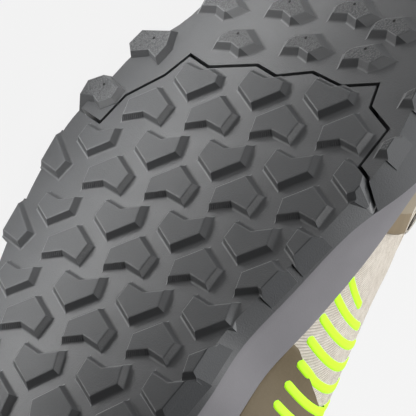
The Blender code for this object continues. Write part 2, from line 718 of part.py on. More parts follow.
def resting_turn():
    """Turn that lays the inner side on its own three points of rest."""
    bm = bmesh.new()
    for made in PIECES:
        bm.from_mesh(made.data)
    hull = bmesh.ops.convex_hull(bm, input=bm.verts)["geom"]
    centre = weight_centre()
    best = None
    for face in [g for g in hull if isinstance(g, bmesh.types.BMFace)]:
        face.normal_update()
        normal = face.normal * (1 if face.normal.dot(face.calc_center_median() - centre) > 0 else -1)
        corners = [v.co.copy() for v in face.verts]
        foot = centre + normal * (corners[0] - centre).dot(normal)
        pairs = zip(corners, corners[1:] + corners[:1])
        turns = [(after - here).cross(foot - here).dot(face.normal) for here, after in pairs]
        held = all(t >= 0 for t in turns) or all(t <= 0 for t in turns)
        if held and normal.y > SIDE_FACING:
            best = normal.copy()
    bm.free()
    up = -best
    ahead = Vector((1, 0, 0))
    ahead = (ahead - up * ahead.dot(up)).normalized()
    return Matrix((ahead, up.cross(ahead), up)).to_4x4()


def lay_down():
    turn = resting_turn()
    for made in PIECES:
        made.data.transform(turn)
    spots = np.array([v.co for made in PIECES for v in made.data.vertices])
    low, high = spots.min(0), spots.max(0)
    shift = Matrix.Translation((-(low[0] + high[0]) / 2, -(low[1] + high[1]) / 2, -low[2]))
    for made in PIECES:
        made.data.transform(shift)
    return shift @ turn


upper()
midsole()
insole()
outsole("outsole_forefoot", True)
outsole("outsole_rear", False)
guard("toe_guard", TOE_GUARD_TURNS, TOE_GUARD_EDGE, 7)
guard("rear_guard", REAR_GUARD_TURNS, REAR_GUARD_EDGE, 4)
eyestay()
tongue()
lace()
REST_MATRIX = lay_down()
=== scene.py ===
import bmesh
import bpy
import math
import numpy as np
from mathutils import Matrix, Vector


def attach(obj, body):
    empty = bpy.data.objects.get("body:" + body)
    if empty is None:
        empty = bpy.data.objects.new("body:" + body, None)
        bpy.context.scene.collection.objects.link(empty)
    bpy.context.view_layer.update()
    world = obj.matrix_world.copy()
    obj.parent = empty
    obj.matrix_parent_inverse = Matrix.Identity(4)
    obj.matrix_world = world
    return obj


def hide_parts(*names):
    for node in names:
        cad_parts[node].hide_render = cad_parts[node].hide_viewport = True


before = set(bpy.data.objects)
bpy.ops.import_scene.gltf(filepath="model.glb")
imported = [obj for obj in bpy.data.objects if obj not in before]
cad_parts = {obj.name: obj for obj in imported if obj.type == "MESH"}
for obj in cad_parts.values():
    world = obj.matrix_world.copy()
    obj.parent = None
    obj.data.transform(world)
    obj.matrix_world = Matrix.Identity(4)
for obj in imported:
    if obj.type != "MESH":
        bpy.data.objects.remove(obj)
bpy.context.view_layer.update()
tau = 2 * math.pi
print("frame loaded", len(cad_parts), "nodes")

# Shoe axes: x to the toe, y to the inner side, z up from the tread, in millimetres
restPose = {
    "ahead": (0.9946844, 0.1024194, 0.01063508, -0.14729987),
    "aside": (0.0, -0.1032832, 0.99465197, -0.0602354),
    "up": (0.10297008, -0.98936492, -0.1027342, 0.03455879),
}
layDown = Matrix((restPose["ahead"], restPose["aside"], restPose["up"], (0, 0, 0, 1)))
shoeToFloor = layDown @ Matrix.Scale(0.001, 4)

footForm = {
    "length": 295.0, "ballWidth": 112.0, "instep": 104.0, "toeSpring": 9.0, "springStart": 258.0,
    "heelBevel": 4.0, "bevelEnd": 30.0, "springLimit": 1.2, "gap": 0.35, "wall": 2.0,
    "lipWidth": 2.4, "lipHeight": 4.0, "lipFlare": 0.9, "crownOut": 8.0, "nudge": 0.01,
}
soleColumns = ("along", "inner", "outer", "floorInner", "floorOuter", "rubber", "rim",
               "lipInner", "lipOuter")
soleRows = (
    (0, 0, 0, 4, 4, 13, 37, 4, 4),
    (0.020, 0.152, -0.156, 4, 4, 13, 37, 4, 4),
    (0.075, 0.277, -0.286, 4, 4, 12.5, 36.5, 4.5, 4.5),
    (0.153, 0.344, -0.362, 4.5, 4, 11.5, 35.5, 4.5, 5),
    (0.254, 0.350, -0.384, 6.5, 4, 11.5, 34, 3.5, 5.5),
    (0.373, 0.328, -0.411, 10, 4, 13, 31, 2.5, 6),
    (0.475, 0.342, -0.451, 13, 4, 14.5, 28.2, 2, 6.5),
    (0.542, 0.385, -0.487, 13.5, 3.6, 16.5, 26, 2.5, 7),
    (0.590, 0.434, -0.508, 7.5, 3.4, 16.8, 24.2, 3.5, 7.2),
    (0.627, 0.466, -0.518, 7, 3.2, 15.8, 22.2, 4.5, 7.4),
    (0.678, 0.484, -0.513, 3.8, 2.6, 11, 20.5, 5, 7),
    (0.729, 0.484, -0.470, 3.6, 2.2, 6.6, 20, 5, 4),
    (0.797, 0.460, -0.399, 3.4, 2.2, 6.6, 20, 4, 1.6),
    (0.847, 0.429, -0.3475, 3.4, 2.4, 6.8, 20.3, 3.5, 1.6),
    (0.898, 0.384, -0.327, 3.4, 2.8, 7.2, 21, 3, 2.2),
    (0.949, 0.320, -0.258, 3.4, 3.4, 8.6, 22, 3, 3),
    (0.983, 0.238, -0.135, 3.6, 3.6, 9.8, 22.6, 3.5, 3.5),
    (1, 0.060, 0.060, 3.8, 3.8, 10.2, 23, 3.5, 3.5),
)
ribColumns = ("along", "topX", "topHalf", "topZ", "ridge",
              *(part + side for side in ("Outer", "Inner") for part in ("lean", "rise", "crown", "drop")))
ribRows = (
    (0, 9, 0, 1.03, 0, 5, 26, -1, 20, 5, 26, -1, 20),
    (0.03, 12, 14, 1.02, 0, 4.5, 26, 0, 20, 4.5, 26, 0, 20),
    (0.10, 26, 25.5, 0.98, 0, 3, 26, 2, 20, 3, 26, 2, 20),
    (0.22, 56, 31, 0.88, 0, 1, 22, 3, 18, 1, 22, 3, 18),
    (0.33, 85, 31.5, 0.88, 0.5, 0, 24, 5, 18, 0, 24, 5, 18),
    (0.42, 108, 28, 0.98, 1, 0, 24, 9, 22, 0, 28, 7, 20),
    (0.50, 124, 23.5, 0.99, 2.5, -1, 18, 14, 24, 0, 28, 10, 18),
    (0.57, 142, 21, 0.905, 4.5, -2, 11, 20, 28, 0, 26, 12, 15),
    (0.66, 164, 19, 0.72, 9.5, -3, 5, 25.5, 32, 0, 23, 14, 10),
    (0.76, 185, 17, 0.628, 9.7, -0.5, 9, 32, 11, 0.5, 21, 18, 6),
    (0.86, 200, 13.5, 0.585, 10.5, 4, 37, 40, 4, 0.5, 20, 24, 4),
    (0.95, 208.5, 7.5, 0.566, 11, 5, 29.5, 48.5, -2.5, 1, 21, 38, 1),
    (1, 211, 0, 0.56, 11, 1.5, 21, 46, 0, 1.5, 21, 46, 0),
)


def smooth(knots, values, at):  # cubic through the rows
    slopes = np.gradient(values, knots, axis=0)
    low = np.clip(np.searchsorted(knots, at, side="right") - 1, 0, len(knots) - 2)
    step = knots[low + 1] - knots[low]
    t = (at - knots[low]) / step
    lift = t * t * (3 - 2 * t)
    bend = step * (slopes[low] * t * (1 - t) ** 2 - slopes[low + 1] * t * t * (1 - t))
    return values[low] * (1 - lift) + values[low + 1] * lift + bend


def unit(ways):
    return ways / np.linalg.norm(ways, axis=-1, keepdims=True)


def aside(ways):  # plan ways turned a quarter to the right
    return np.stack([ways[..., 1], -ways[..., 0]], -1)


def runLength(points, axis=0):  # length along each line of a grid of points
    steps = np.linalg.norm(np.diff(points, axis=axis), axis=-1)
    return np.insert(np.cumsum(steps, axis=axis), 0, 0.0, axis=axis)


def turnOf(along):
    return np.arccos(np.clip(1 - 2 * np.asarray(along), -1, 1))


def makeTable(columns, rows):
    table = dict(zip(columns, np.array(rows).T))
    table["turn"] = turnOf(table["along"])
    return table


soleTable = makeTable(soleColumns, soleRows)
ribTable = makeTable(ribColumns, ribRows)


def foldTurn(turn):  # the same on both sides
    turn = np.mod(turn, tau)
    return np.where(turn <= math.pi, turn, tau - turn)


def valueOf(table, column, turn):  # one column, or its inner and outer pair
    if column in table:
        return smooth(table["turn"], table[column], foldTurn(turn))
    ends = ("outer", "inner") if column == "" else (column + "Outer", column + "Inner")
    outer, inner = (smooth(table["turn"], table[end], foldTurn(turn)) for end in ends)
    return np.where(np.mod(turn, tau) <= math.pi, outer, inner)


def sole(column, turn):
    return valueOf(soleTable, column, turn)


def rib(column, turn):
    return valueOf(ribTable, column, turn)


def outline(turn):
    x = footForm["length"] * (1 - np.cos(turn)) / 2
    return np.stack([x, footForm["ballWidth"] * sole("", turn)], -1)


def outlineNormal(turn):
    return aside(unit(outline(turn + footForm["nudge"]) - outline(turn - footForm["nudge"])))


def treadRise(x):
    start, end, limit = footForm["springStart"], footForm["bevelEnd"], footForm["springLimit"]
    toe = np.clip((x - start) / (footForm["length"] - start), 0, limit)
    heel = np.clip((end - x) / end, 0, limit)
    return toe ** 2 * footForm["toeSpring"] + heel ** 2 * footForm["heelBevel"]


def solePoint(turn, inset, height):
    plan = outline(turn) - outlineNormal(turn) * np.asarray(inset)[..., None]
    return np.concatenate([plan, (treadRise(plan[..., 0]) + height)[..., None]], -1)


def lipBase(turn):  # inset and height of the cloth's foot inside the foam lip
    return (sole("lip", turn) + footForm["lipWidth"] + footForm["gap"],
            sole("rim", turn) - footForm["lipHeight"] + footForm["gap"])


def upperPoint(turn, share):  # share 0 in the foam lip, 1 at collar and throat
    base = solePoint(turn, *lipBase(turn))
    side = np.where(np.mod(turn, tau) <= math.pi, -1.0, 1.0)
    top = np.stack([rib("topX", turn), side * rib("topHalf", turn) + rib("ridge", turn),
                    footForm["instep"] * rib("topZ", turn)], -1)
    normal = outlineNormal(turn)
    away = unit((base - top)[..., :2] + footForm["crownOut"] * normal)
    first = base.copy()
    first[..., :2] += normal * rib("lean", turn)[..., None]
    first[..., 2] += rib("rise", turn) + footForm["lipHeight"]
    second = top.copy()
    second[..., :2] += away * rib("crown", turn)[..., None]
    second[..., 2] -= rib("drop", turn)
    s = np.asarray(share)[..., None]
    middle = 3 * first * s * (1 - s) ** 2 + 3 * second * s * s * (1 - s)
    return base * (1 - s) ** 3 + middle + top * s ** 3


def upperFrame(turn, share):  # point, outward normal and the way up the upper
    nudge = footForm["nudge"]
    share = np.broadcast_to(share, np.shape(turn)).astype(float)
    low = np.clip(share - nudge, 0, 1 - 2 * nudge)
    aroundWay = upperPoint(turn + nudge, share) - upperPoint(turn - nudge, share)
    upWay = upperPoint(turn, low + 2 * nudge) - upperPoint(turn, low)
    return upperPoint(turn, share), unit(np.cross(aroundWay, upWay)), unit(upWay)


def upperOffset(turn, share, out):
    point, normal, _ = upperFrame(turn, share)
    return point + normal * np.broadcast_to(out, np.shape(turn))[..., None]


def ribLength(turn):
    points = np.stack([upperPoint(turn, share) for share in np.linspace(0, 1, 17)])
    return np.linalg.norm(np.diff(points, axis=0), axis=-1).sum(0)


lipTurns = np.linspace(-tau, 2 * tau, 1801)
lipArc = runLength(upperPoint(lipTurns, 0.25))


def arcOf(turn):  # millimetres round the upper
    return np.interp(turn, lipTurns, lipArc)


def easeStep(low, high, value):
    t = np.clip((np.asarray(value, float) - low) / (high - low), 0, 1)
    return t * t * (3 - 2 * t)


# Finishes
def setInputs(node, values):
    for socket, value in values.items():
        node.inputs[socket].default_value = value


def addNode(tree, kind, values=None, **settings):
    node = tree.nodes.new("ShaderNode" + kind)
    for name, value in settings.items():
        setattr(node, name, value)
    setInputs(node, values or {})
    return node


def addMath(tree, operation, factor=0.5):
    return addNode(tree, "Math", {1: factor}, operation=operation)


def linkAll(tree, *links):  # each from one node's output to another's input
    for source, out, target, into in links:
        tree.links.new(source.outputs[out], target.inputs[into])


def makeMouldGrain():  # fine moulded skin: a mask for colour and a bumped normal
    group = bpy.data.node_groups.new("mouldGrain", "ShaderNodeTree")
    for label in ("Fine", "Cloudy", "Depth"):
        group.interface.new_socket(label, in_out="INPUT", socket_type="NodeSocketFloat")
    for label, kind in (("Mask", "Float"), ("Normal", "Vector")):
        group.interface.new_socket(label, in_out="OUTPUT", socket_type="NodeSocket" + kind)
    given, out = (group.nodes.new("NodeGroup" + end) for end in ("Input", "Output"))
    place = addNode(group, "TexCoord")
    fine = addNode(group, "TexNoise", {"Detail": 3.0, "Roughness": 0.6})
    cloudy = addNode(group, "TexNoise", {"Detail": 4.0, "Roughness": 0.55})
    blend = addMath(group, "MULTIPLY_ADD", 0.3)
    bump = addNode(group, "Bump", {"Strength": 1.0})
    linkAll(group, (place, "Object", fine, "Vector"), (place, "Object", cloudy, "Vector"),
            (given, "Fine", fine, "Scale"), (given, "Cloudy", cloudy, "Scale"),
            (given, "Depth", bump, "Distance"), (fine, "Fac", blend, 0), (cloudy, "Fac", blend, 2),
            (fine, "Fac", bump, "Height"), (blend, 0, out, "Mask"), (bump, "Normal", out, "Normal"))
    return group


mouldGrain = makeMouldGrain()


def addGrain(tree, fine, cloudy, depth):
    values = {"Fine": fine, "Cloudy": cloudy, "Depth": depth}
    return addNode(tree, "Group", values, node_tree=mouldGrain)


def newFinish(name, roughness, gloss=0.5):
    finish = bpy.data.materials.new(name)
    finish.use_nodes = True
    shader = finish.node_tree.nodes["Principled BSDF"]
    setInputs(shader, {"Roughness": roughness, "Specular IOR Level": gloss})
    return finish.node_tree, shader


def tintRamp(tree, source, out, shader, tints, ends=(0.35, 0.95)):
    ramp = addNode(tree, "ValToRGB")
    for stop, tint, end in zip(ramp.color_ramp.elements, tints, ends):
        stop.position = end
        stop.color = (*tint, 1)
    linkAll(tree, (source, out, ramp, "Fac"), (ramp, "Color", shader, "Base Color"))
    return ramp


def mouldedFinish(name, tints, roughness, rates, depth, gloss=0.5, paintedHighlight=None):
    tree, shader = newFinish(name, roughness, gloss)
    grain = addGrain(tree, *rates, depth)
    ramp = tintRamp(tree, grain, "Mask", shader, tints)
    linkAll(tree, (grain, "Normal", shader, "Normal"))
    if paintedHighlight:  # painted highlight: paler where the lug's highlight attribute says so
        mark = addNode(tree, "Attribute", attribute_name="paintedHighlight")
        mix = addNode(tree, "Mix", {7: (*paintedHighlight, 1)}, data_type="RGBA")
        linkAll(tree, (mark, "Fac", mix, 0), (ramp, "Color", mix, 6), (mix, 2, shader, "Base Color"))


def pebbledFinish(name, tints, roughness):
    tree, shader = newFinish(name, roughness)
    place = addNode(tree, "TexCoord")
    # painted shade: the pebbles are lighter on their crowns and darker in the low seams between them
    cells = addNode(tree, "TexVoronoi", {"Scale": 1900.0, "Randomness": 0.9})
    bump = addNode(tree, "Bump", {"Strength": 1.0, "Distance": 0.00016}, invert=True)
    linkAll(tree, (place, "Object", cells, "Vector"), (cells, "Distance", bump, "Height"),
            (bump, "Normal", shader, "Normal"))
    tintRamp(tree, cells, "Distance", shader, tints, (0.1, 0.75))


def ribbedFinish(name, tints, roughness, rates, depth, lean=0.0, gloss=0.5):
    tree, shader = newFinish(name, roughness, gloss)
    lay = addNode(tree, "UVMap", uv_map="lay")
    split = addNode(tree, "SeparateXYZ")
    slant = addMath(tree, "MULTIPLY_ADD", lean)
    linkAll(tree, (lay, "UV", split, 0), (split, "Y", slant, 0), (split, "X", slant, 2))
    waves = []
    for source, out, rate in ((slant, 0, rates[0]), (split, "Y", rates[1])):
        turn = addMath(tree, "MULTIPLY", tau * rate)
        wave = addMath(tree, "SINE")
        linkAll(tree, (source, out, turn, 0), (turn, 0, wave, 0))
        waves.append(wave)
    grain = addGrain(tree, 1800.0, 420.0, depth / 2)
    weave = addMath(tree, "MULTIPLY_ADD", 0.35)
    bump = addNode(tree, "Bump", {"Strength": 1.0, "Distance": depth})
    # painted shade: the cloth's tint darkens in the troughs between ribs, mixed with random grain
    shade = addMath(tree, "MULTIPLY_ADD", 0.11)
    linkAll(tree, (waves[1], 0, weave, 0), (waves[0], 0, weave, 2), (weave, 0, bump, "Height"),
            (grain, "Normal", bump, "Normal"), (bump, "Normal", shader, "Normal"),
            (weave, 0, shade, 0), (grain, "Mask", shade, 2))
    tintRamp(tree, shade, 0, shader, tints, (0.3, 0.9))


soleRates, filmRates = (2400.0, 30.0), (1500.0, 55.0)
mouldedFinishes = {  # dark and light tint, roughness, fine and cloudy rate, depth, gloss, painted highlight tint
    "rubberGrey": (((0.096, 0.099, 0.102), (0.129, 0.132, 0.136)), 0.36, soleRates, 0.00007, 0.5,
                   (0.42, 0.425, 0.43)),
    # painted shade: the front lug tops get a darker copy of the grey rubber, with its own roughness and gloss
    "rubberTopShaded": (((0.09, 0.093, 0.096), (0.118, 0.121, 0.125)), 0.45, soleRates, 0.00008, 0.35),
    # painted shade: a darker, duller copy of the grey rubber for the outward-facing rear sidewall and the
    # outer edge-lug facets
    "rubberSideShaded": (((0.06, 0.062, 0.065), (0.082, 0.085, 0.089)), 0.5, soleRates, 0.00006, 0.25),
    # painted shadow: near-black for the pinholes and eyelet holes, which are only flat discs
    "paintedHoleShade": (((0.006, 0.006, 0.006), (0.012, 0.012, 0.012)), 0.8, (900.0, 60.0), 0.00001),
    "foamPurple": (((0.158, 0.153, 0.164), (0.205, 0.199, 0.213)), 0.66, (3200.0, 40.0), 0.00003),
    "filmTaupe": (((0.118, 0.090, 0.050), (0.168, 0.132, 0.078)), 0.55, filmRates, 0.00003, 0.2),
    "filmBand": (((0.169, 0.126, 0.072), (0.24, 0.185, 0.112)), 0.55, filmRates, 0.00003, 0.2),
    "filmTan": (((0.252, 0.212, 0.150), (0.309, 0.262, 0.19)), 0.55, filmRates, 0.00003, 0.2),
    "filmCream": (((0.55, 0.495, 0.42), (0.70, 0.65, 0.575)), 0.7, filmRates, 0.00003, 0.15),
    "barNeon": (((0.46, 0.92, 0.02), (0.53, 1.0, 0.03)), 0.5, (1800.0, 40.0), 0.00001, 0.2),
    "eyeletDark": (((0.07, 0.062, 0.05), (0.11, 0.096, 0.08)), 0.38, (1800.0, 60.0), 0.00001),
}
ribbedFinishes = {  # dark and light tint, roughness, ribs across and along, depth, lean, gloss
    "clothCream": (((0.53, 0.475, 0.40), (0.76, 0.708, 0.632)), 0.86, (1050.0, 2400.0), 0.00009, 0.54, 0.15),
    "clothTongue": (((0.50, 0.45, 0.37), (0.74, 0.69, 0.61)), 0.88, (700.0, 900.0), 0.00015),
    "liningGrey": (((0.25, 0.235, 0.22), (0.39, 0.37, 0.345)), 0.93, (650.0, 650.0), 0.00012),
    "laceBraid": (((0.46, 0.42, 0.36), (0.66, 0.61, 0.54)), 0.85, (1100.0, 900.0), 0.0002, 1.0),
}
for finishName, finishSpec in mouldedFinishes.items():
    mouldedFinish(finishName, *finishSpec)
for finishName, finishSpec in ribbedFinishes.items():
    ribbedFinish(finishName, *finishSpec)
pebbledFinish("rubberPebble", ((0.155, 0.158, 0.162), (0.075, 0.078, 0.08)), 0.42)
# painted glow: the neon bars give off a fixed light of their own, standing in for the fluorescent ink's
# brightness
neonShader = bpy.data.materials["barNeon"].node_tree.nodes["Principled BSDF"]
setInputs(neonShader, {"Emission Color": (0.46, 1.0, 0.02, 1), "Emission Strength": 0.3})
print("finishes ready", len(bpy.data.materials))


# Pieces
def ofKind(geom, kind):
    return [item for item in geom if isinstance(item, kind)]


def sheetMesh(points, lay=None, weld=0.004):  # grid of points, rows by columns, with its lay in metres
    rows, count = points.shape[:2]
    bm = bmesh.new()
    bmesh.ops.create_grid(bm, x_segments=count - 1, y_segments=rows - 1, size=0.5)
    layer = bm.loops.layers.uv.new("lay")
    spots = {}
    for vert in bm.verts:
        k = round((vert.co.x + 0.5) * (count - 1))
        r = round((vert.co.y + 0.5) * (rows - 1))
        spots[vert] = (r, k)
        vert.co = points[r, k]
    if lay is not None:
        for face in bm.faces:
            for loop in face.loops:
                loop[layer].uv = lay[spots[loop.vert]] * 0.001
    bmesh.ops.remove_doubles(bm, verts=bm.verts, dist=weld)
    bmesh.ops.recalc_face_normals(bm, faces=bm.faces)
    return bm


def looseObject(name, bm, finishes=()):
    mesh = bpy.data.meshes.new(name)
    bm.to_mesh(mesh)
    bm.free()
    for finish in finishes:
        mesh.materials.append(bpy.data.materials[finish])
    made = bpy.data.objects.new(name, mesh)
    bpy.context.collection.objects.link(made)
    return made


def newPiece(name, bm, finishes, node=None, sharp=35.0):
    bmesh.ops.transform(bm, matrix=shoeToFloor, verts=bm.verts)
    for edge in bm.edges:
        edge.smooth = edge.smooth and edge.calc_face_angle(0.0) < math.radians(sharp)
    for face in bm.faces:
        face.smooth = True
    piece = looseObject(name, bm, finishes)
    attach(piece, "root")
    if node:
        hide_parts(node)
    print("piece", name, len(piece.data.polygons), "faces")
    return piece


def addTo(bm, other):  # joins one bmesh to another
    held = bpy.data.meshes.new("held")
    other.to_mesh(held)
    other.free()
    bm.from_mesh(held)
    bpy.data.meshes.remove(held)


def closeEnds(bm):
    bmesh.ops.holes_fill(bm, edges=[edge for edge in bm.edges if edge.is_boundary], sides=0)
    bmesh.ops.recalc_face_normals(bm, faces=bm.faces)


def closedSlab(sides, steps, levelOf):  # grid over the outer side, the rows between and the inner side
    outer, inner = sides
    rows = []
    for a in np.linspace(0, 1, steps + 1)[1:-1]:
        row = outer[-1] * (1 - a) + inner[-1] * a
        row[:, 2] = levelOf(row, a)
        rows.append(row)
    keel = (outer[0] + inner[0]) / 2
    return np.array([keel] + outer + rows + inner[::-1] + [keel])


# Rubber
rubberForm = {
    "stations": 150, "dish": 6.2, "rim": 3.0, "dishSlope": 2.0, "dishFollow": 0.45, "floorPlain": 4.0,
    "roll": (0.55, 0.42), "rollSteps": 6, "floorSteps": 8, "seamWidth": 0.95, "zoneFar": 30.0,
    "zoneHeights": (-20.0, 60.0),
    "seam": ((190.5, 75.0), (196.6, 48.7), (199.4, 40.1), (190.4, 36.7), (182.9, 27.6), (176.0, 23.1),
             (178.9, 14.9), (176.6, -0.5), (179.1, -8.2), (176.7, -19.0), (179.7, -30.0), (177.8, -40.8),
             (184.5, -42.2), (189.9, -51.0), (201.1, -48.5), (204.0, -53.0), (209.6, -54.6), (212.0, -75.0)),
}
rubberFinishes = ("rubberGrey", "rubberPebble", "paintedHoleShade", "rubberTopShaded", "rubberSideShaded")
greyAt, pebbleAt, pitAt, topAt, sideAt = range(len(rubberFinishes))
lugForm = {
    "height": 1.8, "root": 5.5, "edgeRound": 0.45, "footRound": 0.75, "trimOuter": -0.4, "trimInner": 0.0,
    "smallestArea": 2.0, "pitchAlong": 21.34, "pitchAcross": 22.0, "rowZero": 183.0, "columnMid": 0.68,
    "frontOutline": ((-7.0, 1.2), (0.0, 5.7), (7.0, 1.2), (6.1, -3.4), (0.0, -1.7), (-6.1, -3.4)),
    "frontDraft": 1.0, "frontRows": 6.0, "frontColumns": (-3.0, 5.0), "smallColumn": -1.0, "smallScale": 0.82,
    "reachOuter": 5.0, "reachInner": 1.0, "seamClear": 2.5, "seamRoom": 0.3, "teeth": 21, "toothDepth": 0.07,
    "edgeLugs": ((204.3, -51.0, 1.0), (224.6, -48.5, 1.0), (260.1, -38.1, -1.0)), "edgeRoom": 8.0,
    "innerLugs": ((211.9, 48.4), (233.4, 47.4)),
    "innerOutline": ((-5.9, 2.1), (1.1, -6.3), (4.5, -5.1), (2.0, 2.0)),
    "rearOutline": ((-3.7, 2.5), (-0.1, 0.95), (4.7, 1.2), (4.75, -1.0), (3.1, -2.25), (-2.6, -3.1),
                    (-7.3, 0.3), (-4.05, 2.4)),
    "rearShares": (1.2, 1.05, 1.3, 1.0, 1.0, 1.1, 1.35, 1.0),
    # painted highlight on the lugs: its edge amount and fade by facing, its share per ring and wall level, and
    # the lit facets with their tints
    "highlightEdge": 0.55, "highlightFrom": (0.15, 0.5), "facetMatch": 0.975,
    "highlightRings": (0.0, 0.4, 1.0, 0.9, 0.3, 0.0, 0.0, 0.0, 0.3, 0.9, 0.7, 0.2, 0.0),
    "highlightWalls": (0.0, 0.0, 0.3, 0.7, 1.0, 1.0, 1.0, 1.0, 0.8, 0.4, 0.0),
    "litFacets": (((0.84, -0.54), 0.55), ((0.92, 0.39), 0.12), ((-0.82, -0.57), 0.18)),
    "rearDraft": 1.45, "rearStart": (149.0, 9.7), "rearPitch": 12.2, "rearRows": 12, "rearColumns": (-5, 6),
    "rearReach": 5.0, "rearWide": 1.2, "wideFrom": 30.0, "ownSlope": 0.5,
    "pit": (-1.9, -0.6), "pitRadius": 0.42,
    "rearInner": (((191.0, 44.8), ((-2.5, 5.7), (-4.7, 1.5), (-1.6, -6.0), (1.6, -5.6), (3.6, -2.2),
                                   (1.8, 0.9), (1.8, 5.7))),
                  ((175.3, 37.1), ((0.5, 6.8), (-3.9, 5.0), (-4.7, -4.9), (-0.2, -6.1), (3.8, -4.8),
                                   (1.7, -0.9), (2.8, 4.9)))),
    "rearNear": ((171.0, 10.2, 0), (170.1, -12.2, -2), (171.3, -32.3, -7),
                 (181.0, -57.0, 0), (195.5, -58.1, 0), (160.5, 21.9, 0), (159.9, -0.6, 2), (158.7, -21.4, 0),
                 (162.4, -36.3, -2)),
    "arcSteps": 5, "topInset": 0.3, "wallShares": (0.12, 0.88), "rootStep": (0.1, 0.2),
    "leastCross": 0.05, "pitDrop": 0.02, "cutLeast": 0.01, "sharp": 38.0,
}


def widened(points, reaches):  # each edge of an outline moved out by its own reach, corners mitred
    points = np.asarray(points, float)
    reaches = np.broadcast_to(reaches, len(points)).astype(float)
    out = unit(aside(np.roll(points, -1, axis=0) - points))
    before = np.roll(out, 1, axis=0)
    past = np.roll(reaches, 1)
    least = lugForm["leastCross"]
    cross = before[:, 0] * out[:, 1] - before[:, 1] * out[:, 0]
    cross = np.where(np.abs(cross) < least, np.where(cross < 0, -least, least), cross)
    x = (past * out[:, 1] - reaches * before[:, 1]) / cross
    y = (before[:, 0] * reaches - out[:, 0] * past) / cross
    return points + np.stack([x, y], -1)


def clipped(points, marks, spot, way, mark):  # keeps the side of a line that its way points from
    kept, keptMarks = [], []
    sides = (points - spot) @ way
    for i in range(len(points)):
        n = (i + 1) % len(points)
        if sides[i] <= 0:
            kept.append(points[i])
            keptMarks.append(marks[i])
        if (sides[i] <= 0) != (sides[n] <= 0):
            cut = points[i] + (points[n] - points[i]) * sides[i] / (sides[i] - sides[n])
            kept.append(cut)
            keptMarks.append(mark if sides[i] <= 0 else marks[i])
    return np.array(kept), keptMarks


def areaOf(points):
    if len(points) < 3:
        return 0.0
    x, y = points.T
    return float(np.sum(x * np.roll(y, -1) - np.roll(x, -1) * y)) / 2


def holds(corners, spot):  # is a spot inside an outline
    after = np.roll(corners, -1, axis=0)
    spans = (corners[:, 1] > spot[1]) != (after[:, 1] > spot[1])
    rise = np.where(spans, after[:, 1] - corners[:, 1], 1.0)
    cross = corners[:, 0] + (spot[1] - corners[:, 1]) / rise * (after[:, 0] - corners[:, 0])
    return bool(np.sum(spans & (spot[0] < cross)) % 2)


def seamCuts(place, corners, nearest):  # spot and forward way of the stretches of the joint that trim a lug
    line = np.array(rubberForm["seam"])
    cuts = []
    for a, b in zip(line[:-1], line[1:]):
        steps = a + (b - a) * np.linspace(0, 1, 25)[:, None] - place
        if nearest or any(holds(corners, step) for step in steps):
            cuts.append((np.linalg.norm(steps, axis=1).min(), a - place, -aside(unit(b - a))))
    cuts.sort(key=lambda cut: cut[0])
    return [(spot, way) for _, spot, way in (cuts[:1] if nearest else cuts)]


def onTread(place, margin):
    if not 0 < place[0] < footForm["length"]:
        return False
    turn = float(turnOf(place[0] / footForm["length"]))
    width = footForm["ballWidth"]
    return width * sole("", turn) + margin < place[1] < width * sole("", tau - turn) - margin


def sideLine(place):  # nearest line that trims the edge lugs, and how fast it runs out with depth
    home = float(turnOf(np.clip(place[0] / footForm["length"], 0.001, 0.999)))
    turns = (home if place[1] < 0 else tau - home) + np.linspace(-0.35, 0.35, 71)
    floorIn = sole("floor", turns) + lugForm["trimOuter" if place[1] < 0 else "trimInner"]
    edge = outline(turns) - outlineNormal(turns) * floorIn[:, None]
    near = int(np.argmin(np.linalg.norm(edge - place, axis=1)))
    return edge[near], outlineNormal(turns)[near], float(floorIn[near] / sole("rubber", turns)[near])


def seamX(y):
    line = np.array(rubberForm["seam"])
    hits = []
    for near, far in zip(line[:-1], line[1:]):
        if min(near[1], far[1]) <= y <= max(near[1], far[1]):
            hits.append(near[0] + (y - near[1]) / (far[1] - near[1]) * (far[0] - near[0]))
    return float(np.mean(hits)) if hits else float(line[0, 0])


def frontPlans():  # place, corners, draft, its share at each edge and the serrated edge of each lug
    form = lugForm
    draft = form["frontDraft"]
    chevron = np.array(form["frontOutline"])[:, ::-1]
    even = [1.0] * len(chevron)
    others = [spot[:2] for spot in form["edgeLugs"] + form["innerLugs"]]
    plans = []
    for row in np.arange(0.0, form["frontRows"], 0.5):
        offset = row % 1
        for column in np.arange(*form["frontColumns"]) + offset:
            place = np.array([form["rowZero"] + row * form["pitchAlong"],
                              (form["columnMid"] - column) * form["pitchAcross"]])
            reach = form["reachOuter" if place[1] < 0 else "reachInner"]
            room = min(math.hypot(place[0] - x, place[1] - y) for x, y in others)
            free = room >= form["edgeRoom"] and place[0] >= seamX(place[1]) + form["seamClear"]
            if free and onTread(place, -reach):
                scale = form["smallScale"] if column == form["smallColumn"] else 1.0
                corners = chevron * (-scale if offset else scale)
                plans.append((place, corners, draft, even, 4 if offset else None))
    for x, y, facing in form["edgeLugs"]:
        plans.append((np.array([x, y]), chevron * facing, draft, even, None))
    for place in form["innerLugs"]:
        plans.append((np.array(place), np.array(form["innerOutline"]), draft, [1.0, 1.0, 1.0, "side"], None))
    return plans


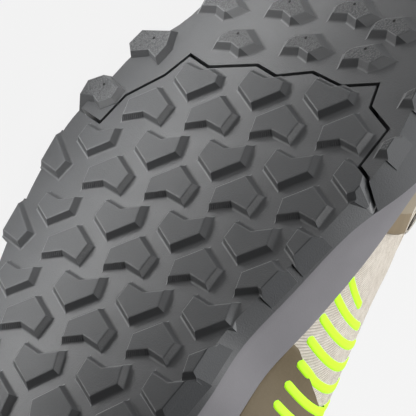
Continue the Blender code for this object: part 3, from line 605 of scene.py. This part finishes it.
def rearPlans():  # the same for the rear lugs
    form = lugForm
    draft, pitch = form["rearDraft"], form["rearPitch"]
    startX, startY = form["rearStart"]
    places = list(form["rearNear"])
    for row in range(form["rearRows"]):
        for column in range(*form["rearColumns"]):
            if (row + column) % 2 == 0:
                places.append((startX - row * pitch, startY + column * pitch, 0))
    plans = []
    for x, y, swing in places:
        turn = float(turnOf(max(x, 1.0) / footForm["length"]))
        margin = float(sole("floor", turn if y < 0 else tau - turn))
        if onTread((x, y), margin - form["rearReach"]):
            wide = form["rearWide"] if y > form["wideFrom"] else 1.0
            cos, sin = math.cos(math.radians(swing)), math.sin(math.radians(swing))
            corners = np.array(form["rearOutline"])[:, ::-1] * np.array([1.0, wide])
            corners = corners @ np.array([[cos, sin], [-sin, cos]])
            plans.append((np.array([x, y]), corners, draft, list(form["rearShares"]), None))
    for place, corners in form["rearInner"]:
        plans.append((np.array(place), np.array(corners), draft, ["own"] * len(corners), None))
    return plans


def lugRings(corners, marks, draft, slopes, teeth):  # levels of one lug from its flat top down to its root
    form = lugForm
    height, edge, foot = form["height"], form["edgeRound"], form["footRound"]
    lean = math.atan2(height, draft)
    back = math.tan(lean / 2)
    arc = np.linspace(0, lean, form["arcSteps"])
    levels = [(-edge * back - form["topInset"], 0.0)]
    levels += [(edge * (math.sin(a) - back), edge * (1 - math.cos(a))) for a in arc]
    ends = [(draft + foot * (back - math.sin(a)), height - foot * (1 - math.cos(a))) for a in arc[::-1]]
    wallTop, wallFoot = levels[-1], ends[0]
    for t in form["wallShares"]:
        levels.append(tuple(a + (b - a) * t for a, b in zip(wallTop, wallFoot)))
    reach = ends[-1][0] + form["rootStep"][0]
    levels += [*ends, (reach, height + form["rootStep"][1]), (reach, form["root"])]
    rings = []
    for reach, depth in levels:
        inward, outward = min(reach, 0.0), max(reach, 0.0)
        reaches = [inward + (slopes[mark] * depth if mark in slopes else mark * outward) for mark in marks]
        plan = widened(corners, reaches)
        if teeth is not None:
            share = np.linspace(0, 1, form["teeth"] + 2)[1:-1]
            a, b = plan[teeth], plan[(teeth + 1) % len(plan)]
            fade = easeStep(0.0, edge, depth) * (1 - easeStep(wallFoot[1], height, depth))
            zig = form["toothDepth"] * float(fade) * np.where(np.arange(len(share)) % 2 == 0, -1.0, 1.0)
            extra = a + (b - a) * share[:, None] + aside(unit(b - a)) * zig[:, None]
            plan = np.concatenate([plan[:teeth + 1], extra, plan[teeth + 1:]])
        rings.append((plan, depth))
    return rings


def highlightShare(way, level, wall, front):  # painted highlight: paler lug edges facing the inner side, and paler rear lug facets facing the light
    form = lugForm
    pale = form["highlightEdge"] * level * float(easeStep(*form["highlightFrom"], way[1]))
    for facet, tint in () if front else form["litFacets"]:
        pale = max(pale, tint * wall if np.dot(way, facet) > form["facetMatch"] else 0.0)
    return pale


def onRise(spot, depth):
    return (*spot, treadRise(spot[0]) + depth)


def raiseLug(bm, place, rings, topFinish, marks):
    form = lugForm
    corner = bm.verts.layers.int.get("corner") or bm.verts.layers.int.new("corner")
    # painted highlight share kept on each corner of the lug's rings
    paintedHighlight = bm.loops.layers.float.get("paintedHighlight") or bm.loops.layers.float.new("paintedHighlight")
    plan, depth = rings[0]
    ring = [bm.verts.new(onRise(spot, depth)) for spot in plan + place]
    for i, vert in enumerate(ring):
        vert[corner] = i
    top = bm.faces.new(ring)
    top.material_index = topFinish
    edges = list(top.edges)
    levels = [(0.0, 0.0)]
    for step, (plan, depth) in enumerate(rings[1:]):
        grown = bmesh.ops.extrude_edge_only(bm, edges=edges)["geom"]
        verts = set(ofKind(grown, bmesh.types.BMVert))
        edges = [edge for edge in ofKind(grown, bmesh.types.BMEdge) if verts.issuperset(edge.verts)]
        for vert in verts:
            vert.co = onRise(plan[vert[corner]] + place, depth)
            for upright in vert.link_edges:
                upright.smooth = upright in edges  # crisp corners
        levels.append([form[key][min(step, len(form[key]) - 1)] for key in ("highlightRings", "highlightWalls")])
        for face in ofKind(grown, bmesh.types.BMFace):
            low = [loop.vert for loop in face.loops if loop.vert in verts]
            first, last = sorted(vert[corner] for vert in low)
            mark = marks[last if last - first > 1 else first] if len(marks) == len(plan) else None
            # outer facets of the edge lugs take the darker painted-shade rubber
            wallFinish = sideAt if mark == "side" and place[1] < 0 else greyAt
            face.material_index = topFinish if step == 0 else wallFinish
            run = Vector(low[0].co - low[1].co).to_2d()
            side = Vector(face.calc_center_median()).to_2d() - Vector(place)
            way = np.array((run.y, -run.x)) / max(run.length, 1e-6)
            way = way if way @ np.array(side) > 0 else -way
            for loop in face.loops:
                level = levels[-1] if loop.vert in verts else levels[-2]
                loop[paintedHighlight] = highlightShare(way, *level, topFinish == topAt)


def dishInset(turns):
    form = rubberForm
    extra = np.clip(sole("floor", turns) - form["floorPlain"], 0, None)
    return form["rim"] + form["dishSlope"] + form["dishFollow"] * extra


def rubberSlab():
    form = rubberForm
    height = lugForm["height"]
    half = np.linspace(0, math.pi, form["stations"] + 1)
    sides = []
    for turns in (half, tau - half):
        floorIn, line = sole("floor", turns), sole("rubber", turns)
        rows = [solePoint(turns, dishInset(turns), form["dish"]), solePoint(turns, form["rim"], line)]
        for s in np.linspace(1, 0, form["rollSteps"] + 1):  # rolled side from the rubber line to the tread
            middle, end = -4 * s * (s - 1), 2 * s * (s - 0.5)
            inset = floorIn * (1 - middle - end) + form["roll"][0] * floorIn * middle
            level = height + (line - height) * (form["roll"][1] * middle + end)
            rows.append(solePoint(turns, inset, level))
        sides.append(rows)
    return sheetMesh(closedSlab(sides, form["floorSteps"], lambda row, a: treadRise(row[:, 0]) + height))


def seamBlock(front):  # upright block on one side of the joint
    line = np.array(rubberForm["seam"])
    far = footForm["length"] + rubberForm["zoneFar"] if front else -rubberForm["zoneFar"]
    points = np.concatenate([line, [(far, line[-1][1]), (far, line[0][1])]])
    points = widened(points if front else points[::-1], -rubberForm["seamWidth"] / 2)
    low, high = rubberForm["zoneHeights"]
    bm = bmesh.new()
    face = bm.faces.new([bm.verts.new((*spot, low)) for spot in points])
    raised = bmesh.ops.extrude_face_region(bm, geom=[face])["geom"]
    bmesh.ops.translate(bm, vec=(0, 0, high - low), verts=ofKind(raised, bmesh.types.BMVert))
    bmesh.ops.recalc_face_normals(bm, faces=bm.faces)
    return looseObject("seamBlock", bm)


def slabPart(front):  # the slab on one side of the joint
    slab = looseObject("slab", rubberSlab())
    block = seamBlock(front)
    cut = slab.modifiers.new("seam", "BOOLEAN")
    cut.operation = "INTERSECT"
    cut.solver = "EXACT"
    cut.object = block
    bpy.context.view_layer.update()
    mesh = bpy.data.meshes.new_from_object(slab.evaluated_get(bpy.context.evaluated_depsgraph_get()))
    bm = bmesh.new()
    bm.from_mesh(mesh)
    for made in (slab, block):
        bpy.data.objects.remove(made, do_unlink=True)
    bpy.data.meshes.remove(mesh)
    return bm


def makeRubber(name, node, front):
    form = lugForm
    bm = slabPart(front)
    for face in bm.faces:
        # painted shade: the rear slab's outward-facing side takes the darker rubber
        face.material_index = sideAt if not front and face.normal.y < -0.5 else greyAt
    # painted highlight layer, left empty on the slab
    bm.loops.layers.float.new("paintedHighlight")
    lugs = bmesh.new()
    pits = bmesh.new()
    for place, corners, draft, marks, teeth in frontPlans() if front else rearPlans():
        full = areaOf(corners) - form["cutLeast"]
        firstRow = front and place[0] < form["rowZero"] + 1
        for spot, way in seamCuts(place, corners, firstRow):
            away = -way if front else way
            room = form["seamRoom"] if firstRow else 0.0
            edge = spot - away * (room + rubberForm["seamWidth"] / 2)
            corners, marks = clipped(corners, marks, edge, away, 1.0 if firstRow else "seam")
        sideSpot, sideWay, slope = sideLine(place)
        marked = "side" in marks or "own" in marks
        if not marked and len(corners) > 2 and max((corners - (sideSpot - place)) @ sideWay) > 0:
            corners, marks = clipped(corners, marks, sideSpot - place, sideWay, "side")
        if areaOf(corners) < form["smallestArea"]:
            continue
        whole = areaOf(corners) >= full
        slopes = {"seam": 0.0, "side": slope, "own": form["ownSlope"]}
        rings = lugRings(corners, marks, draft, slopes, teeth if whole else None)
        # front lug tops take the darker painted-shade rubber
        raiseLug(lugs, place, rings, topAt if front else pebbleAt, marks)
        # painted shadow: a near-black disc just under the lug top stands for the pinhole
        if whole and not front:
            spot = Matrix.Translation(onRise(place + np.array(form["pit"]), -form["pitDrop"]))
            bmesh.ops.create_circle(pits, cap_ends=True, segments=12, radius=form["pitRadius"], matrix=spot)
    bmesh.ops.recalc_face_normals(lugs, faces=lugs.faces)
    for face in pits.faces:
        face.material_index = pitAt
    addTo(bm, lugs)
    addTo(bm, pits)
    return newPiece(name, bm, rubberFinishes, node, form["sharp"])


makeRubber("forefootRubber", "outsole_forefoot", True)
makeRubber("rearRubber", "outsole_rear", False)


# Foam midsole
foamForm = {
    "columns": 320, "step": 0.5, "edgeRound": 0.7, "edgeShare": 0.3, "wallSteps": 10, "wallSpan": (0.07, 0.94),
    "wallHeights": (0.0, 0.35, 0.75, 1.0), "wallInsets": (0.0, 0.3, 0.72, 1.0),
    "lipRound": ((0.15, 0.25), (0.5, 0.0)),
}


def makeFoam():
    form = foamForm
    gap, lip = footForm["gap"], footForm["lipWidth"]
    turns = np.linspace(0, tau, form["columns"] + 1)
    rim, rimIn = sole("rim", turns), sole("lip", turns)
    line = sole("rubber", turns) + gap
    low = solePoint(turns, dishInset(turns) + gap, rubberForm["dish"] + gap)
    rows = [(low + low[::-1]) / 2, low, solePoint(turns, rubberForm["rim"] + gap, line)]
    lift = form["edgeShare"] * form["edgeRound"]
    rows.append(solePoint(turns, form["step"] + form["edgeRound"], line))
    rows.append(solePoint(turns, form["step"] + lift, line + lift))
    knots, insets = np.array(form["wallHeights"]), np.array(form["wallInsets"])
    for s in np.linspace(*form["wallSpan"], form["wallSteps"]):
        inset = form["step"] * (1 - s) + smooth(knots, insets, s) * rimIn
        rows.append(solePoint(turns, inset, line + s * (rim - line)))
    for inset, drop in form["lipRound"]:
        rows.append(solePoint(turns, rimIn + inset, rim - drop))
    rows.append(solePoint(turns, rimIn + lip - footForm["lipFlare"], rim))
    foot = solePoint(turns, rimIn + lip, rim - footForm["lipHeight"])
    rows += [foot, (foot + foot[::-1]) / 2]
    return newPiece("foamMidsole", sheetMesh(np.array(rows)), ("foamPurple",), "midsole")


makeFoam()


# Upper
upperForm = {
    "columns": 360, "riseSteps": 44, "innerSteps": 26, "edgeSteps": 5, "edgeShare": 0.985, "edgeLift": 1.6,
    "liningFrom": 3.0, "collarPad": 3.4, "padReach": (1.30, 1.52), "padShares": (0.5, 0.82),
    "padEnd": (0.97, 1.03), "padEase": 0.6,
}


def collarPad(turn, share):
    form = upperForm
    swell = easeStep(*form["padShares"], share) * (1 - form["padEase"] * easeStep(*form["padEnd"], share))
    return form["collarPad"] * swell * (1 - easeStep(*form["padReach"], foldTurn(turn)))


def makeUpper():
    form = upperForm
    wall, edge = footForm["wall"], form["edgeShare"]
    turns = np.linspace(0, tau, form["columns"] + 1)
    lengths, arc = ribLength(turns), arcOf(turns)
    rows, lays = [], []
    for share in np.linspace(0, edge, form["riseSteps"] + 1):
        rows.append(upperPoint(turns, share))
        lays.append(np.stack([arc, share * lengths], -1))
    point, normal, upWay = upperFrame(turns, edge)
    half = (wall + collarPad(turns, edge)) / 2
    for angle in np.linspace(0, math.pi, form["edgeSteps"] + 2)[1:-1]:  # rounded topline
        out = half * math.cos(angle) - half
        lift = np.minimum(half, form["edgeLift"]) * math.sin(angle)
        rows.append(point + normal * out[:, None] + upWay * lift[:, None])
        lays.append(np.stack([arc, lengths + 2 * angle], -1))
    for share in np.linspace(edge, 0, form["innerSteps"] + 1):
        rows.append(upperOffset(turns, share, -wall - collarPad(turns, share)))
        lays.append(np.stack([arc, 2 * lengths - share * lengths], -1))
    rows[-1][:, 2] = rows[0][:, 2]
    rows.append(rows[0].copy())
    lays.append(lays[-1].copy())
    bm = sheetMesh(np.array(rows), np.array(lays))
    layer = bm.loops.layers.uv["lay"]
    for face in bm.faces:
        u, v = np.mean([loop[layer].uv for loop in face.loops], axis=0) * 1000
        face.material_index = 1 if v > np.interp(u, arc, lengths) + form["liningFrom"] else 0
    return newPiece("upperCloth", bm, ("clothCream", "liningGrey"), "upper", 60.0)


makeUpper()


# Panels on the upper
panelForm = {
    "top": 1.3, "edge": 0.45, "rimClear": 0.5, "sink": 0.2, "edgeShare": 0.3, "edgeRises": (0.7, 0.93),
    "toeTurns": (2.267, 4.05),
    "toeEdge": ((0.0, 0.03), (0.02, 0.15), (0.06, 0.34), (0.1, 0.50), (0.2, 0.54), (0.5, 0.46), (0.8, 0.48),
                (0.9, 0.42), (0.95, 0.28), (1.0, 0.04)),
    "rearTurns": (-1.99, 2.01),
    "rearEdge": ((0.0, 0.44), (0.1, 0.40), (0.3, 0.30), (0.5, 0.46), (0.7, 0.30), (0.9, 0.40), (1.0, 0.46)),
    "rearBand": 1.965,
    "stayTurn": 1.40, "stayWidth": 12.5, "stayEdge": 1.0, "stayTop": 0.4,
}


def shareAboveRim(turn):
    shares = np.linspace(0, 0.6, 241)
    grid = np.stack([upperPoint(turn, share) for share in shares])
    lip = solePoint(turn, sole("lip", turn), sole("rim", turn))[..., 2] + panelForm["rimClear"]
    return shares[np.argmax(grid[..., 2] >= lip, axis=0)]


def panelRise(count, span, top):  # places and heights across a panel with edges rounded down to the cloth
    form = panelForm
    inset = form["edge"] / span
    near = np.array([0, 0, form["edgeShare"] * inset])
    low = np.array([-form["sink"], *(rise * top for rise in form["edgeRises"])])
    spots = np.concatenate([near, inset + (1 - 2 * inset) * np.linspace(0, 1, count), 1 - near[::-1]])
    return spots, np.concatenate([low, np.full(count, top), low[::-1]])


def makePanel(name, ends, lowOf, highOf, cells, finishes, node, bandTurn=None, top=panelForm["top"]):
    columns, rows = cells
    spanAround = arcOf(ends[1]) - arcOf(ends[0])
    aroundSpots, aroundRise = panelRise(columns, spanAround, top)
    turns = np.interp(arcOf(ends[0]) + aroundSpots * spanAround, lipArc, lipTurns)
    low, high = lowOf(turns), highOf(turns)
    lengths = ribLength(turns)
    upSpots, upRise = panelRise(rows, max(np.median((high - low) * lengths), 4.0), top)
    grid, lays = [], []
    for spot, rise in zip(upSpots, upRise):
        share = low + (high - low) * spot
        grid.append(upperOffset(turns, share, np.minimum(aroundRise, rise)))
        lays.append(np.stack([arcOf(turns), share * lengths], -1))
    bm = sheetMesh(np.array(grid), np.array(lays), 0.0005)
    layer = bm.loops.layers.uv["lay"]
    for face in bm.faces if bandTurn else ():
        middle = np.mean([loop[layer].uv.x for loop in face.loops])
        face.material_index = 1 if middle < arcOf(bandTurn) * 0.001 else 0
    return newPiece(name, bm, finishes, node, 50.0)


def edgeCurve(ends, edge):
    knots, heights = np.array(edge).T
    bends = ends[0] + (ends[1] - ends[0]) * knots
    return lambda turns: np.clip(smooth(bends, heights, np.clip(turns, *ends)), 0.02, 0.7)


def belowTop(depth):  # a line that runs so far below the throat's edge
    return lambda turns: 1 - depth / ribLength(turns)


toeHeight = edgeCurve(panelForm["toeTurns"], panelForm["toeEdge"])
rearHeight = edgeCurve(panelForm["rearTurns"], panelForm["rearEdge"])
makePanel("toeGuard", panelForm["toeTurns"], shareAboveRim,
          lambda turns: shareAboveRim(turns) + toeHeight(turns), (200, 26), ("filmTaupe",), "toe_guard")
makePanel("rearGuard", panelForm["rearTurns"], shareAboveRim,
          lambda turns: shareAboveRim(turns) + rearHeight(turns), (240, 22), ("filmBand", "filmTan"),
          "rear_guard", panelForm["rearBand"])
makePanel("eyestay", (panelForm["stayTurn"], tau - panelForm["stayTurn"]), belowTop(panelForm["stayWidth"]),
          belowTop(panelForm["stayEdge"]), (150, 10), ("filmCream",), "eyestay", None, panelForm["stayTop"])


# Neon bars low on the outer side
barForm = {
    "turns": (2.125, 2.172, 2.219, 2.266, 2.313, 2.360, 2.407), "width": 2.6, "height": 0.3, "low": 0.10,
    "high": (0.40, 0.50, 0.56, 0.58, 0.56, 0.52, 0.48), "slant": 0.055, "steps": 40, "across": 8, "sink": 0.15,
    "endRise": 0.6, "crown": 6, "leastHalf": 0.05,
}


def acrossWays(path, normal):  # unit ways along a path and across it
    ahead = unit(np.gradient(path, axis=0))
    return ahead, unit(np.cross(ahead, normal))


def panelLift(turn, share):  # height of the toe panel under a point
    low = shareAboveRim(turn)
    inside = easeStep(-0.012, 0.0, turn - panelForm["toeTurns"][0])
    return panelForm["top"] * inside * (1 - easeStep(0.0, 0.05, share - low - toeHeight(turn)))


def makeBars():
    form = barForm
    radius, sink = form["width"] / 2, form["sink"]
    s = np.linspace(0, 1, form["steps"] + 1)
    bm = bmesh.new()
    bm.loops.layers.uv.new("lay")
    for turn, high in zip(form["turns"], form["high"]):
        turns = turn + form["slant"] * (s - 0.5)
        shares = form["low"] + (high - form["low"]) * s
        point, normal, _ = upperFrame(turns, shares)
        _, side = acrossWays(point, normal)
        toEnd = np.minimum(s, 1 - s) * np.linalg.norm(np.diff(point, axis=0), axis=1).sum()
        rounded = np.sqrt(np.clip(radius ** 2 - (radius - toEnd) ** 2, form["leastHalf"] ** 2, None))
        half = np.where(toEnd < radius, rounded, radius)
        rise = (form["height"] + sink) * easeStep(0.0, form["endRise"], toEnd)
        lift = panelLift(turns, shares) - sink
        rows = []
        for a in np.linspace(-1, 1, form["across"] + 1):
            out = lift + rise * (1 - abs(a) ** form["crown"])
            rows.append(point + side * (half * a)[:, None] + normal * out[:, None])
        addTo(bm, sheetMesh(np.array(rows), None, 0.0005))
    return newPiece("sideBars", bm, ("barNeon",), None, 50.0)


makeBars()


# Tongue, lace and eyelets over the throat
throatForm = {
    "reach": 9.0, "edge": 0.25, "end": 2.8, "clear": 0.65, "bulge": 4.0, "flat": -0.6, "grow": 1.4,
    "growSteps": 10, "turns": (2.50, 1.45), "front": (1.0, 0.0, -2.0), "thick": 4.5, "stations": 44,
    "cross": 24, "tail": ((8.0, 5.0, 0.97), (15.0, 12.0, 0.92), (20.0, 21.0, 0.84)), "tailSteps": 15,
    "softSide": 9, "softEnd": 14, "edgeFill": 0.25, "skinDrop": 0.9, "underDrop": 0.3,
}
laceForm = {
    "span": (122.0, 192.0), "pairs": 5, "width": 5.0, "thick": 1.1, "bulge": 2.0, "clear": 0.1, "steps": 34,
    "weave": 0.75, "weaveSpan": 0.13, "plunge": 4.0, "plungeSpan": 0.09, "around": 16, "flatness": 0.6,
    "eyeRing": 2.4, "eyeTube": 0.6, "eyeLift": 0.1, "holeLift": 0.15,
}


def throatArch(turn, across, out, bulge):
    turn = np.asarray(turn, float)
    across = np.asarray(across, float)
    reach = throatForm["reach"] / ribLength(turn)
    edge = throatForm["edge"]
    sides = []
    for side, depth in ((turn, 1 - across / edge), (tau - turn, 1 - (1 - across) / edge)):
        sides.append(upperOffset(side, 1 - reach * np.clip(depth, 0, 1), out))
    w = np.clip((across - edge) / (1 - 2 * edge), 0, 1)[:, None]
    arch = sides[0] * (1 - w) + sides[1] * w
    arch[:, 2] += (bulge * 4 * w * (1 - w))[:, 0]
    return arch


def makeTongue():
    form = throatForm
    cross = np.linspace(0, 1, form["cross"] + 1)
    stations = np.linspace(*form["turns"], form["stations"] + 1)
    growth = np.linspace(0, form["growSteps"], form["stations"] + 1)
    bulge = np.minimum(form["bulge"], form["flat"] + form["grow"] * growth)
    under = -(footForm["wall"] + form["clear"])
    rows = [throatArch(0 * cross + turn, cross, under, lift) for turn, lift in zip(stations, bulge)]
    front = rows[0][0] + (rows[0][-1] - rows[0][0]) * cross[:, None] + np.array(form["front"])
    rows.insert(0, front)
    last, centre = rows[-1], rows[-1].mean(0)
    tail = np.array([(0.0, 0.0, 1.0), *form["tail"]])
    knots = np.arange(float(len(tail)))
    for s in np.linspace(0, knots[-1], form["tailSteps"] + 1)[1:]:
        back, up, narrow = (smooth(knots, tail[:, c], s) for c in range(3))
        rows.append(centre + (last - centre) * np.array([1.0, narrow, narrow]) + np.array([-back, 0.0, up]))
    top = np.array(rows)
    mid = form["cross"] // 2
    normal = unit(np.cross(np.gradient(top, axis=0), np.gradient(top, axis=1)))
    normal *= np.sign(normal[len(rows) // 2, mid, 2])
    u = np.linspace(0, 1, len(rows))[:, None]
    soft = np.clip(np.minimum(cross, 1 - cross) * form["softSide"], 0, 1)
    plump = np.sqrt(soft * np.clip(np.minimum(u, 1 - u) * form["softEnd"], 0, 1))
    fill = form["thick"] * (form["edgeFill"] + (1 - form["edgeFill"]) * plump)
    skin = top - normal * (form["skinDrop"] * (1 - plump))[..., None]
    back = top - normal * (fill + form["underDrop"] * (1 - plump))[..., None]
    closed = np.concatenate([skin, back[:, ::-1], skin[:, :1]], axis=1)
    size = runLength(closed, 1)
    lays = np.stack([size, np.broadcast_to(runLength(top[:, mid])[:, None], size.shape)], -1)
    bm = sheetMesh(closed, lays)
    closeEnds(bm)
    piece = newPiece("tonguePad", bm, ("clothTongue",), "tongue", 60.0)
    return piece


def eyeTurns():
    turns = np.linspace(panelForm["stayTurn"], throatForm["end"], 60)
    return np.interp(np.linspace(*laceForm["span"], laceForm["pairs"]), rib("topX", turns), turns)


def laceRun(start, end, flip, over):  # centre line of one bar with its ends going down into the eyelets
    form = laceForm
    steps = np.linspace(0, 1, form["steps"] + 1)
    turn = start * (1 - steps) + end * steps
    place = 1 - steps if flip else steps
    out = panelForm["stayTop"] + form["clear"] + form["thick"] / 2
    path = throatArch(turn, place, out, form["bulge"])
    normal = unit(throatArch(turn, place, out + 1.0, form["bulge"]) - path)
    weave = over * form["weave"] * np.exp(-((steps - 0.5) / form["weaveSpan"]) ** 2)
    dip = form["plunge"] * (1 - easeStep(0.0, form["plungeSpan"], np.minimum(steps, 1 - steps)))
    return path + normal * (weave - dip)[:, None], normal


def ribbon(path, normal):
    width, thick = laceForm["width"], laceForm["thick"]
    ahead, side = acrossWays(path, normal)
    up = np.cross(side, ahead)
    angles = np.linspace(0, tau, laceForm["around"] + 1)
    flat = np.sign(np.cos(angles)) * np.abs(np.cos(angles)) ** laceForm["flatness"]
    rows = [path + side * (width / 2 * c) + up * (thick / 2 * math.sin(a)) for a, c in zip(angles, flat)]
    length = runLength(path)
    lays = [np.stack([0 * length + a * (width + thick) / tau, length], -1) for a in angles]
    part = sheetMesh(np.array(rows), np.array(lays))
    closeEnds(part)
    return part


def makeLace():
    stations = eyeTurns()
    bm = bmesh.new()
    bm.loops.layers.uv.new("lay")
    runs = [(stations[-1], stations[-1], False, 0.0)]
    for low, high in zip(stations[:-1], stations[1:]):
        runs += [(low, high, False, 1.0), (low, high, True, -0.3)]
    for run in runs:
        addTo(bm, ribbon(*laceRun(*run)))
    return newPiece("laceCord", bm, ("laceBraid",), "lace", 60.0)


def makeEyelets():
    form = laceForm
    arm = Matrix.Translation((form["eyeRing"], 0, 0)) @ Matrix.Rotation(math.pi / 2, 4, "X")
    disc = Matrix.Translation((0, 0, form["holeLift"]))
    bm = bmesh.new()
    for turn in eyeTurns():
        share = 1 - throatForm["reach"] / ribLength(np.array([turn]))
        for place in (turn, tau - turn):
            point, normal, _ = upperFrame(np.array([place]), share)
            up = Vector(normal[0]).normalized()
            centre = Vector(point[0]) + up * (panelForm["stayTop"] + form["eyeLift"])
            turnTo = up.to_track_quat("Z", "Y").to_matrix().to_4x4()
            ring = bmesh.new()
            bmesh.ops.create_circle(ring, segments=10, radius=form["eyeTube"], matrix=arm)
            bmesh.ops.spin(ring, geom=ring.edges[:], axis=(0, 0, 1), angle=tau, steps=28, use_merge=True)
            # painted shadow: a near-black disc fills the eyelet's hole
            bmesh.ops.create_circle(ring, cap_ends=True, segments=24, radius=form["eyeRing"], matrix=disc)
            for face in ring.faces:
                face.material_index = 1 if len(face.verts) > 8 else 0
            bmesh.ops.transform(ring, matrix=Matrix.Translation(centre) @ turnTo, verts=ring.verts)
            bmesh.ops.recalc_face_normals(ring, faces=ring.faces)
            addTo(bm, ring)
    return newPiece("laceEyelets", bm, ("eyeletDark", "paintedHoleShade"), None, 50.0)


makeTongue()
makeLace()
makeEyelets()


# Insole
insoleForm = {
    "thick": 4.0, "clear": 1.0, "slope": 2.5, "shoulder": 0.8, "stations": 120, "cross": 14, "crown": 0.4,
}


def makeInsole():
    form = insoleForm
    half = np.linspace(0, math.pi, form["stations"] + 1)
    share = form["shoulder"]
    sides = []
    for turns in (half, tau - half):
        inset, floor = lipBase(turns)
        inset = inset + footForm["wall"] + form["clear"]
        sides.append([solePoint(turns, inset, floor),
                      solePoint(turns, inset + share * form["slope"], floor + share * form["thick"]),
                      solePoint(turns, inset + form["slope"] + share, floor + form["thick"])])
    grid = closedSlab(sides, form["cross"], lambda row, a: row[:, 2] + form["crown"] * 4 * a * (1 - a))
    lays = np.stack([runLength(grid), grid[:, :, 0]], -1)
    piece = newPiece("insoleBed", sheetMesh(grid, lays), ("liningGrey",), "insole", 50.0)
    return piece


makeInsole()
print("pieces done")


# Floor, light and camera
studio = {
    "floorSize": 6.0, "floorColour": (0.03, 0.03, 0.03, 1), "floorGlow": 0.875,
    "floorFade": (0.05, 0.28, 0.55, 0.06),
    "backdrop": (0.90, 0.90, 0.90, 1), "sky": (1.0, 1.0, 1.02, 1), "skyFade": (-0.1, -0.9, 0.02, 0.48),
    "lamps": {
        "low": {"place": (0.4, -0.125, 0.003), "aim": (0.4, -0.125, 1.0), "size": (0.5, 0.08), "power": 0.02},
        "near": {"place": (0.04, -0.101, 0.009), "aim": (0.04, 0.789, 0.449), "size": (0.46, 0.024),
                 "power": 0.078, "spread": 116.0},
        "side": {"place": (-0.31, -0.28, 1.17), "aim": (0.05, -0.04, 0.05), "size": (0.5, 0.5), "power": 4.4},
        "top": {"place": (-0.25, 0.72, 0.95), "aim": (0.05, -0.04, 0.05), "size": (0.9, 0.9), "power": 15.0},
    },
}
photoView = {
    "look": (220.35, -1.54, 0.0), "right": (-0.466, -0.7159, 0.52), "down": (0.8156, -0.1197, 0.566),
    "forward": (-0.3429, 0.6879, 0.6397), "distance": 770.0, "lens": 273.5, "shift": (0.08, -0.0082),
}


def fadeAlong(tree, limits):  # a value that changes along the place's x
    place = addNode(tree, "TexCoord")
    split = addNode(tree, "SeparateXYZ")
    fade = addNode(tree, "MapRange", dict(zip((1, 2, 3, 4), limits)))
    linkAll(tree, (split, "X", fade, 0))
    return place, split, fade


def makeFloor():
    tree, shader = newFinish("floorPale", 0.9, 0.0)
    setInputs(shader, {"Base Color": studio["floorColour"], "Emission Color": (1, 1, 1, 1)})
    rays = addNode(tree, "LightPath")
    glow = addNode(tree, "MapRange", {4: studio["floorGlow"]})  # paler to the camera
    place, split, fade = fadeAlong(tree, studio["floorFade"])  # dim past the toe
    linkAll(tree, (place, "Object", split, 0), (fade, 0, glow, 3), (rays, "Is Camera Ray", glow, 0),
            (glow, 0, shader, "Emission Strength"))
    bm = bmesh.new()
    bmesh.ops.create_grid(bm, x_segments=8, y_segments=8, size=studio["floorSize"])
    floor = looseObject("floor", bm, ("floorPale",))


def makeLight(name, spec):
    data = bpy.data.lights.new(name, "AREA")
    data.shape = "RECTANGLE"
    data.size, data.size_y = spec["size"]
    data.energy = spec["power"]
    data.spread = math.radians(spec.get("spread", 180.0))
    lamp = bpy.data.objects.new(name, data)
    lamp.location = spec["place"]
    aim = Vector(spec["aim"]) - Vector(spec["place"])
    lamp.rotation_euler = aim.to_track_quat("-Z", "Y").to_euler()
    lamp.visible_camera = False
    bpy.context.collection.objects.link(lamp)


def makeSky():  # dim to the shoe, pale behind it
    world = bpy.data.worlds.new("studio")
    world.use_nodes = True
    tree = world.node_tree
    dim = tree.nodes["Background"]
    setInputs(dim, {"Color": studio["sky"]})
    pale = addNode(tree, "Background", {"Color": studio["backdrop"]})
    rays = addNode(tree, "LightPath")
    choose = addNode(tree, "MixShader")
    way, split, fade = fadeAlong(tree, studio["skyFade"])
    linkAll(tree, (way, "Generated", split, 0), (fade, 0, dim, "Strength"), (rays, "Is Camera Ray", choose, 0),
            (dim, 0, choose, 1), (pale, 0, choose, 2), (choose, 0, tree.nodes["World Output"], "Surface"))
    bpy.context.scene.world = world


def makeCamera():
    data = bpy.data.cameras.new("photoCamera")
    data.lens = photoView["lens"]
    data.sensor_width = 36.0  # millimetres
    data.shift_x, data.shift_y = photoView["shift"]
    data.clip_start = 0.01
    right, down, forward = (Vector(photoView[key]).normalized() for key in ("right", "down", "forward"))
    place = Vector(photoView["look"]) - forward * photoView["distance"]
    turn = layDown.to_3x3() @ Matrix((right, -down, -forward)).transposed()
    camera = bpy.data.objects.new("photoCamera", data)
    camera.matrix_world = Matrix.Translation(shoeToFloor @ place) @ turn.to_4x4()
    bpy.context.collection.objects.link(camera)
    bpy.context.scene.camera = camera


bpy.context.scene.view_settings.view_transform = "Standard"  # plain colours, as the photo has
makeFloor()
for lampName, lampSpec in studio["lamps"].items():
    makeLight(lampName, lampSpec)
makeCamera()
makeSky()
print("scene ready")
